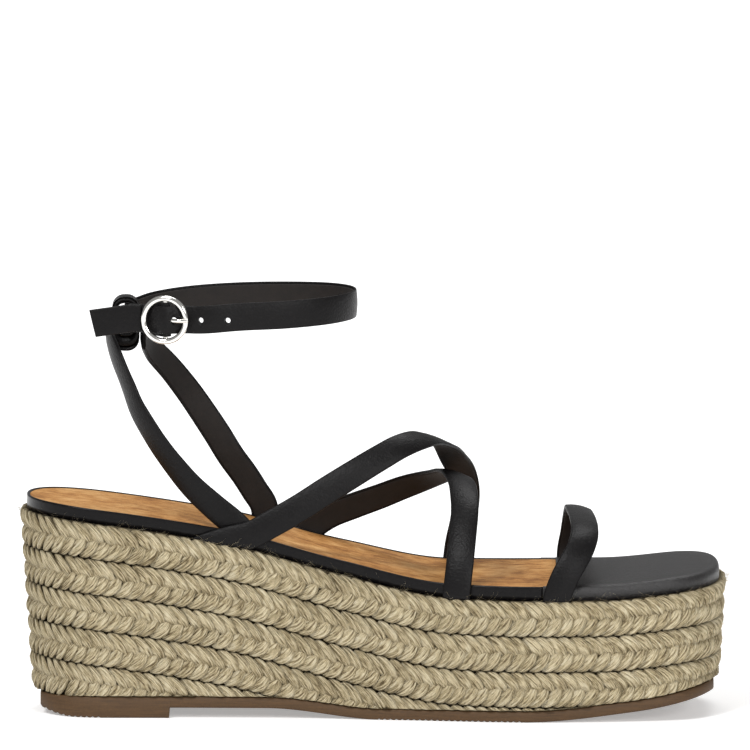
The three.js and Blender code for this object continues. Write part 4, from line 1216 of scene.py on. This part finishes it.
RIM_LEVEL = -(BUCKLE_WIRE + RIM_PLAY + PLY / 2)
BAR_LEVEL = -BAR_RECESS + SLEEVE_BORE + SLEEVE_WALL + CLEARANCE + PLY / 2
BILLET_DEPTH = 0.0011  # from the strap's back to the middle of the end that lies under it
BILLET_LEVEL = RIM_LEVEL - PLY / 2 - CLEARANCE - BILLET_DEPTH
MID_LEVEL = (RIM_LEVEL + BAR_LEVEL) / 2
TAIL_START = -(BUCKLE_RADIUS + BUCKLE_WIRE + TAIL_GAP)

ankle_round = [
    (KEEPER_X + share * ANKLE_LENGTH, side * ANKLE_WIDTH / 2, ANKLE_Z + rise / 1000)
    for share, side, rise in (
        (0, -0.3, 0),
        (-0.003, -0.02, 0),
        (0.008, 0.2, 0.1),
        (0.042, 0.42, 0.6),
        (0.12, 0.68, 1.9),
        (0.277, 0.9, 3.3),
        (0.494, 0.98, 4.3),
        (0.71, 0.91, 4.8),
        (0.88, 0.7, 5.1),
        (0.97, 0.38, 5.2),
        (1, 0, 5.1),
        (0.97, -0.38, 4.8),
        (0.87, -0.73, 4.3),
        (0.7, -0.95, 3.6),
        (0.494, -1.03, 3),
    )
]
ankle_path = [
    at_buckle(-0.0032, BILLET_LEVEL + 0.0013),
    at_buckle(-0.0065, BILLET_LEVEL + 0.0001),
    at_buckle(-0.01, BILLET_LEVEL),
    at_buckle(-0.0133, BILLET_LEVEL - 0.0011),
    *ankle_round,
    at_buckle(0.016, RIM_LEVEL + 0.0004, 0.0003),
    at_buckle(0.011, RIM_LEVEL),
    at_buckle(BUCKLE_RADIUS, RIM_LEVEL),
    at_buckle(0.5 * BUCKLE_RADIUS, MID_LEVEL),
    at_buckle(0, BAR_LEVEL),
    at_buckle(-0.5 * BUCKLE_RADIUS, MID_LEVEL),
    at_buckle(-BUCKLE_RADIUS, RIM_LEVEL),
    at_buckle(TAIL_START + CLEARANCE, RIM_LEVEL),
]
ankle_lining_path = [
    at_buckle(-0.0115, BILLET_LEVEL - 0.0004),
    ankle_path[3],
    *ankle_round,
    at_buckle(0.016, RIM_LEVEL + 0.0004, 0.0003),
    at_buckle(0.011, RIM_LEVEL),
]


def loop_outward(spot, ahead):
    return (-ahead[1], ahead[0], 0.0)


def punch(piece, places):
    """Cuts round holes through the strap at places forward of the buckle's bar."""
    for x in places:
        bpy.ops.mesh.primitive_cylinder_add(vertices=28, radius=HOLE_RADIUS, depth=0.008)
        tool = bpy.context.object
        turn = Matrix((FORWARD, UP, OUTWARD)).transposed()
        tool.data.transform(turn.to_4x4())
        tool.data.transform(Matrix.Translation(Vector(at_buckle(x, RIM_LEVEL))))
        cutter = piece.modifiers.new("hole", "BOOLEAN")
        cutter.operation, cutter.object, cutter.solver = "DIFFERENCE", tool, "EXACT"
        bpy.context.view_layer.update()
        cut = bpy.data.meshes.new_from_object(piece.evaluated_get(bpy.context.evaluated_depsgraph_get()))
        piece.modifiers.clear()
        piece.data = cut
        bpy.data.objects.remove(tool)


HOLES = [PRONG_HOLE + HOLE_PITCH, PRONG_HOLE + 2 * HOLE_PITCH]


def ankle_strap():
    leather = rounded_section(HALF_STRAP, -PLY / 2 - 0.0001, PLY / 2 - 0.00045, 0.0003, 0.0004)
    strap = sweep("ankle_strap_leather", ankle_path, 380, loop_outward, leather, "ankle_strap")
    punch(strap, [PRONG_HOLE] + HOLES)
    finish_piece(strap, black_leather, "black_leather", "ankle_strap")
    low = -PLY / 2 - PLY_GAP - LINING_THICKNESS
    section = rounded_section(LINING_WIDTH / 2, low, -PLY / 2 + 0.0001, 0.0003)
    inside = sweep("ankle_strap_inside", ankle_lining_path, 260, loop_outward, section, "ankle_strap")
    punch(inside, HOLES)
    finish_piece(inside, lining_leather, "black_lining", "ankle_strap_lining")


def bar_sleeve():
    """The strap's end, folded round the bar in two tongues that leave room for the prong."""
    middle = SLEEVE_BORE + SLEEVE_WALL / 2
    spine = [
        (-0.0062, BILLET_LEVEL + 0.0004),
        (-0.0042, BILLET_LEVEL + 0.0005),
        (-0.0022, -BAR_RECESS - 0.0016),
    ]
    for i in range(10):
        turn = math.radians(-115 + 250 * i / 9)
        spine.append((middle * math.cos(turn), -BAR_RECESS + middle * math.sin(turn)))
    spine += [(-0.0021, -BAR_RECESS + 0.0003), (-0.0040, BILLET_LEVEL + 0.0014)]
    half = BUCKLE_RADIUS - BUCKLE_WIRE - SLEEVE_PLAY
    slot = PRONG_WIDTH / 2 + CLEARANCE
    for name, centre in (("upper", (half + slot) / 2), ("lower", -(half + slot) / 2)):
        section = rounded_section((half - slot) / 2, -SLEEVE_WALL / 2, SLEEVE_WALL / 2, 0.0003)
        path = [at_buckle(x, out, centre) for x, out in spine]
        tongue = sweep(f"bar_sleeve_{name}", path, 70, sleeve_outward, section, "ankle_strap")
        finish_piece(tongue, black_leather, "black_leather")


def sleeve_outward(spot, ahead):
    return Vector(ahead).cross(UP)


def strap_tail():
    tip = TAIL_START - TAIL_LENGTH
    path = [
        at_buckle(TAIL_START, RIM_LEVEL),
        at_buckle(TAIL_START - 0.004, RIM_LEVEL + 0.0003),
        at_buckle(TAIL_START - 0.5 * TAIL_LENGTH, RIM_LEVEL + 0.0009, -0.0008),
        at_buckle(tip + TAIL_TRIM, RIM_LEVEL + 0.0018, -0.0021),
    ]
    low = -PLY / 2 - PLY_GAP - LINING_THICKNESS + CLEARANCE
    section = rounded_section(HALF_STRAP, low, PLY / 2 - 0.00012, 0.0005, 0.00015)
    slant = math.tan(TAIL_SLANT)
    tail = sweep("strap_end", path, 70, loop_outward, section, "strap_tail", lambda u: slant * u)
    finish_piece(tail, black_leather, "black_leather", "strap_tail")


def local_piece(name, rings, body, closed=False):
    """A piece drawn in the buckle's own directions (forward, up, out)."""
    turn = Matrix((FORWARD, UP, OUTWARD)).transposed().to_4x4()
    turn.translation = BUCKLE_CENTRE
    return skin(name, [[tuple(turn @ Vector(p)) for p in ring] for ring in rings], body, closed)


RING_SIDES = 28
RING_STEPS = 120
RING_SQUARENESS = 2.2
RING_THINNING = 0.93  # its wire is this much thinner front to back
BAR_SIDES = 24


def buckle():
    """A round polished frame, and its bar, which flares where it meets the frame."""
    profile = []
    for i in range(RING_SIDES):
        turn = 2 * math.pi * i / RING_SIDES
        c, n = math.cos(turn), math.sin(turn)
        size = (abs(c) ** RING_SQUARENESS + abs(n) ** RING_SQUARENESS) ** (-1 / RING_SQUARENESS)
        profile.append((size * c * BUCKLE_WIRE, size * n * BUCKLE_WIRE * RING_THINNING))
    rings = []
    for i in range(RING_STEPS):
        turn = 2 * math.pi * i / RING_STEPS
        c, n = math.cos(turn), math.sin(turn)
        rings.append([((BUCKLE_RADIUS + a) * c, (BUCKLE_RADIUS + a) * n, b) for a, b in profile])
    ring = local_piece("buckle_ring", rings, "buckle_frame", closed=True)
    finish_piece(ring, nickel, "polished_nickel", "buckle_frame")
    bar = []
    circle = [2 * math.pi * i / BAR_SIDES for i in range(BAR_SIDES)]
    for y in np.linspace(-BUCKLE_RADIUS, BUCKLE_RADIUS, 9):
        thick = BAR_RADIUS * (1 + 0.55 * (abs(y) / BUCKLE_RADIUS) ** 10)
        rise = BAR_RECESS * (1 - 0.5 * (abs(y) / BUCKLE_RADIUS) ** 12)
        bar.append([(thick * math.cos(a), y, thick * math.sin(a) - rise) for a in circle])
    piece = local_piece("buckle_bar", bar, "buckle_frame")
    finish_piece(piece, nickel, "polished_nickel")


PRONG_STEPS = 90
PRONG_SIDES = 16


def prong():
    """The prong: an eye round the bar and a bowed tongue that rests on the rim."""
    rest = BUCKLE_WIRE + CLEARANCE + PRONG_HALF
    eye = BAR_RADIUS + 0.00015 + PRONG_HALF * 0.65
    spine = []
    for i in range(12):
        turn = math.radians(-200 + 255 * i / 11)
        spine.append((eye * math.cos(turn), 0, -BAR_RECESS + eye * math.sin(turn)))
    spine += [
        (0.0023, 0, 0.0005),
        (PRONG_HOLE + 0.0002, 0, 0.00175),
        (0.0053, 0, 0.00225),
        (BUCKLE_RADIUS, 0, rest),
        (BUCKLE_RADIUS + 0.0013, 0, rest - 0.00025),
    ]
    spots = smooth_path(spine, PRONG_STEPS)
    rings = []
    for i, spot in enumerate(spots):
        ahead = spots[min(i + 1, PRONG_STEPS)] - spots[max(i - 1, 0)]
        ahead /= np.linalg.norm(ahead)
        out = np.array([-ahead[2], 0, ahead[0]])
        taper = 1 - 0.45 * max(0.0, (i - 70) / 20) ** 2
        thick = PRONG_HALF * (0.65 + 0.35 * min(1, i / 45)) * taper
        ring = []
        for j in range(PRONG_SIDES):
            turn = 2 * math.pi * j / PRONG_SIDES
            sideways = np.array([0, PRONG_WIDTH / 2 * taper * math.cos(turn), 0])
            ring.append(spot + out * thick * math.sin(turn) + sideways)
        rings.append(ring)
    piece = local_piece("buckle_tongue", rings, "buckle_prong")
    finish_piece(piece, nickel, "polished_nickel", "buckle_prong")


# ---- Studio ----

VIEW_DISTANCE = 8.0
VIEW_ELEVATION = math.radians(6.5)
VIEW_WIDTH = 0.27
VIEW_TARGET = Vector((0.0007, 0, 0.1208))
FLOOR_SIZE = 60
FLOOR_GLOW = 0.35
AIR_GLOW = 0.3


def studio():
    scene = bpy.context.scene
    scene.view_settings.view_transform = "Standard"
    back = Vector((0, -math.cos(VIEW_ELEVATION), math.sin(VIEW_ELEVATION)))
    camera = bpy.data.objects.new("camera", bpy.data.cameras.new("camera"))
    bpy.context.collection.objects.link(camera)
    camera.location = VIEW_TARGET + back * VIEW_DISTANCE
    camera.rotation_euler = (-back).to_track_quat("-Z", "Y").to_euler()
    camera.data.lens = camera.data.sensor_width * VIEW_DISTANCE / VIEW_WIDTH
    scene.camera = camera

    bpy.ops.mesh.primitive_plane_add(size=FLOOR_SIZE)
    floor = bpy.context.object
    floor.name = "studio_floor"
    paper = Shader("studio_paper", Base_Color=(0.92, 0.92, 0.92, 1), Roughness=0.9)
    paper.surface.inputs["Emission Color"].default_value = (1, 1, 1, 1)
    paper.surface.inputs["Emission Strength"].default_value = FLOOR_GLOW
    floor.data.materials.append(paper.material)

    world = bpy.data.worlds.new("studio_air")
    world.use_nodes = True
    world.node_tree.nodes["Background"].inputs["Color"].default_value = (1, 1, 1, 1)
    world.node_tree.nodes["Background"].inputs["Strength"].default_value = AIR_GLOW
    scene.world = world
    lamps = (
        ("key_light", (-0.6, -1.1, 1.3), 2.0, 18),
        ("front_light", (0.7, -1.4, 0.6), 1.1, 16),
        ("top_light", (0.2, 0.7, 1.6), 1.1, 30),
    )
    for name, spot, strength, spread in lamps:
        lamp = bpy.data.lights.new(name, "SUN")
        lamp.energy, lamp.angle = strength, math.radians(spread)
        holder = bpy.data.objects.new(name, lamp)
        holder.location = spot
        holder.rotation_euler = (-Vector(spot)).to_track_quat("-Z", "Y").to_euler()
        bpy.context.collection.objects.link(holder)


dress_hidden_parts()
for row_number in range(BRAID_ROWS):
    braid_row(row_number)
braid_shade_band()
loose_fibres()
sock()
binding()
toe_cover()
outsole()
foot_straps()
keeper_loop()
ankle_strap()
bar_sleeve()
strap_tail()
buckle()
prong()
studio()
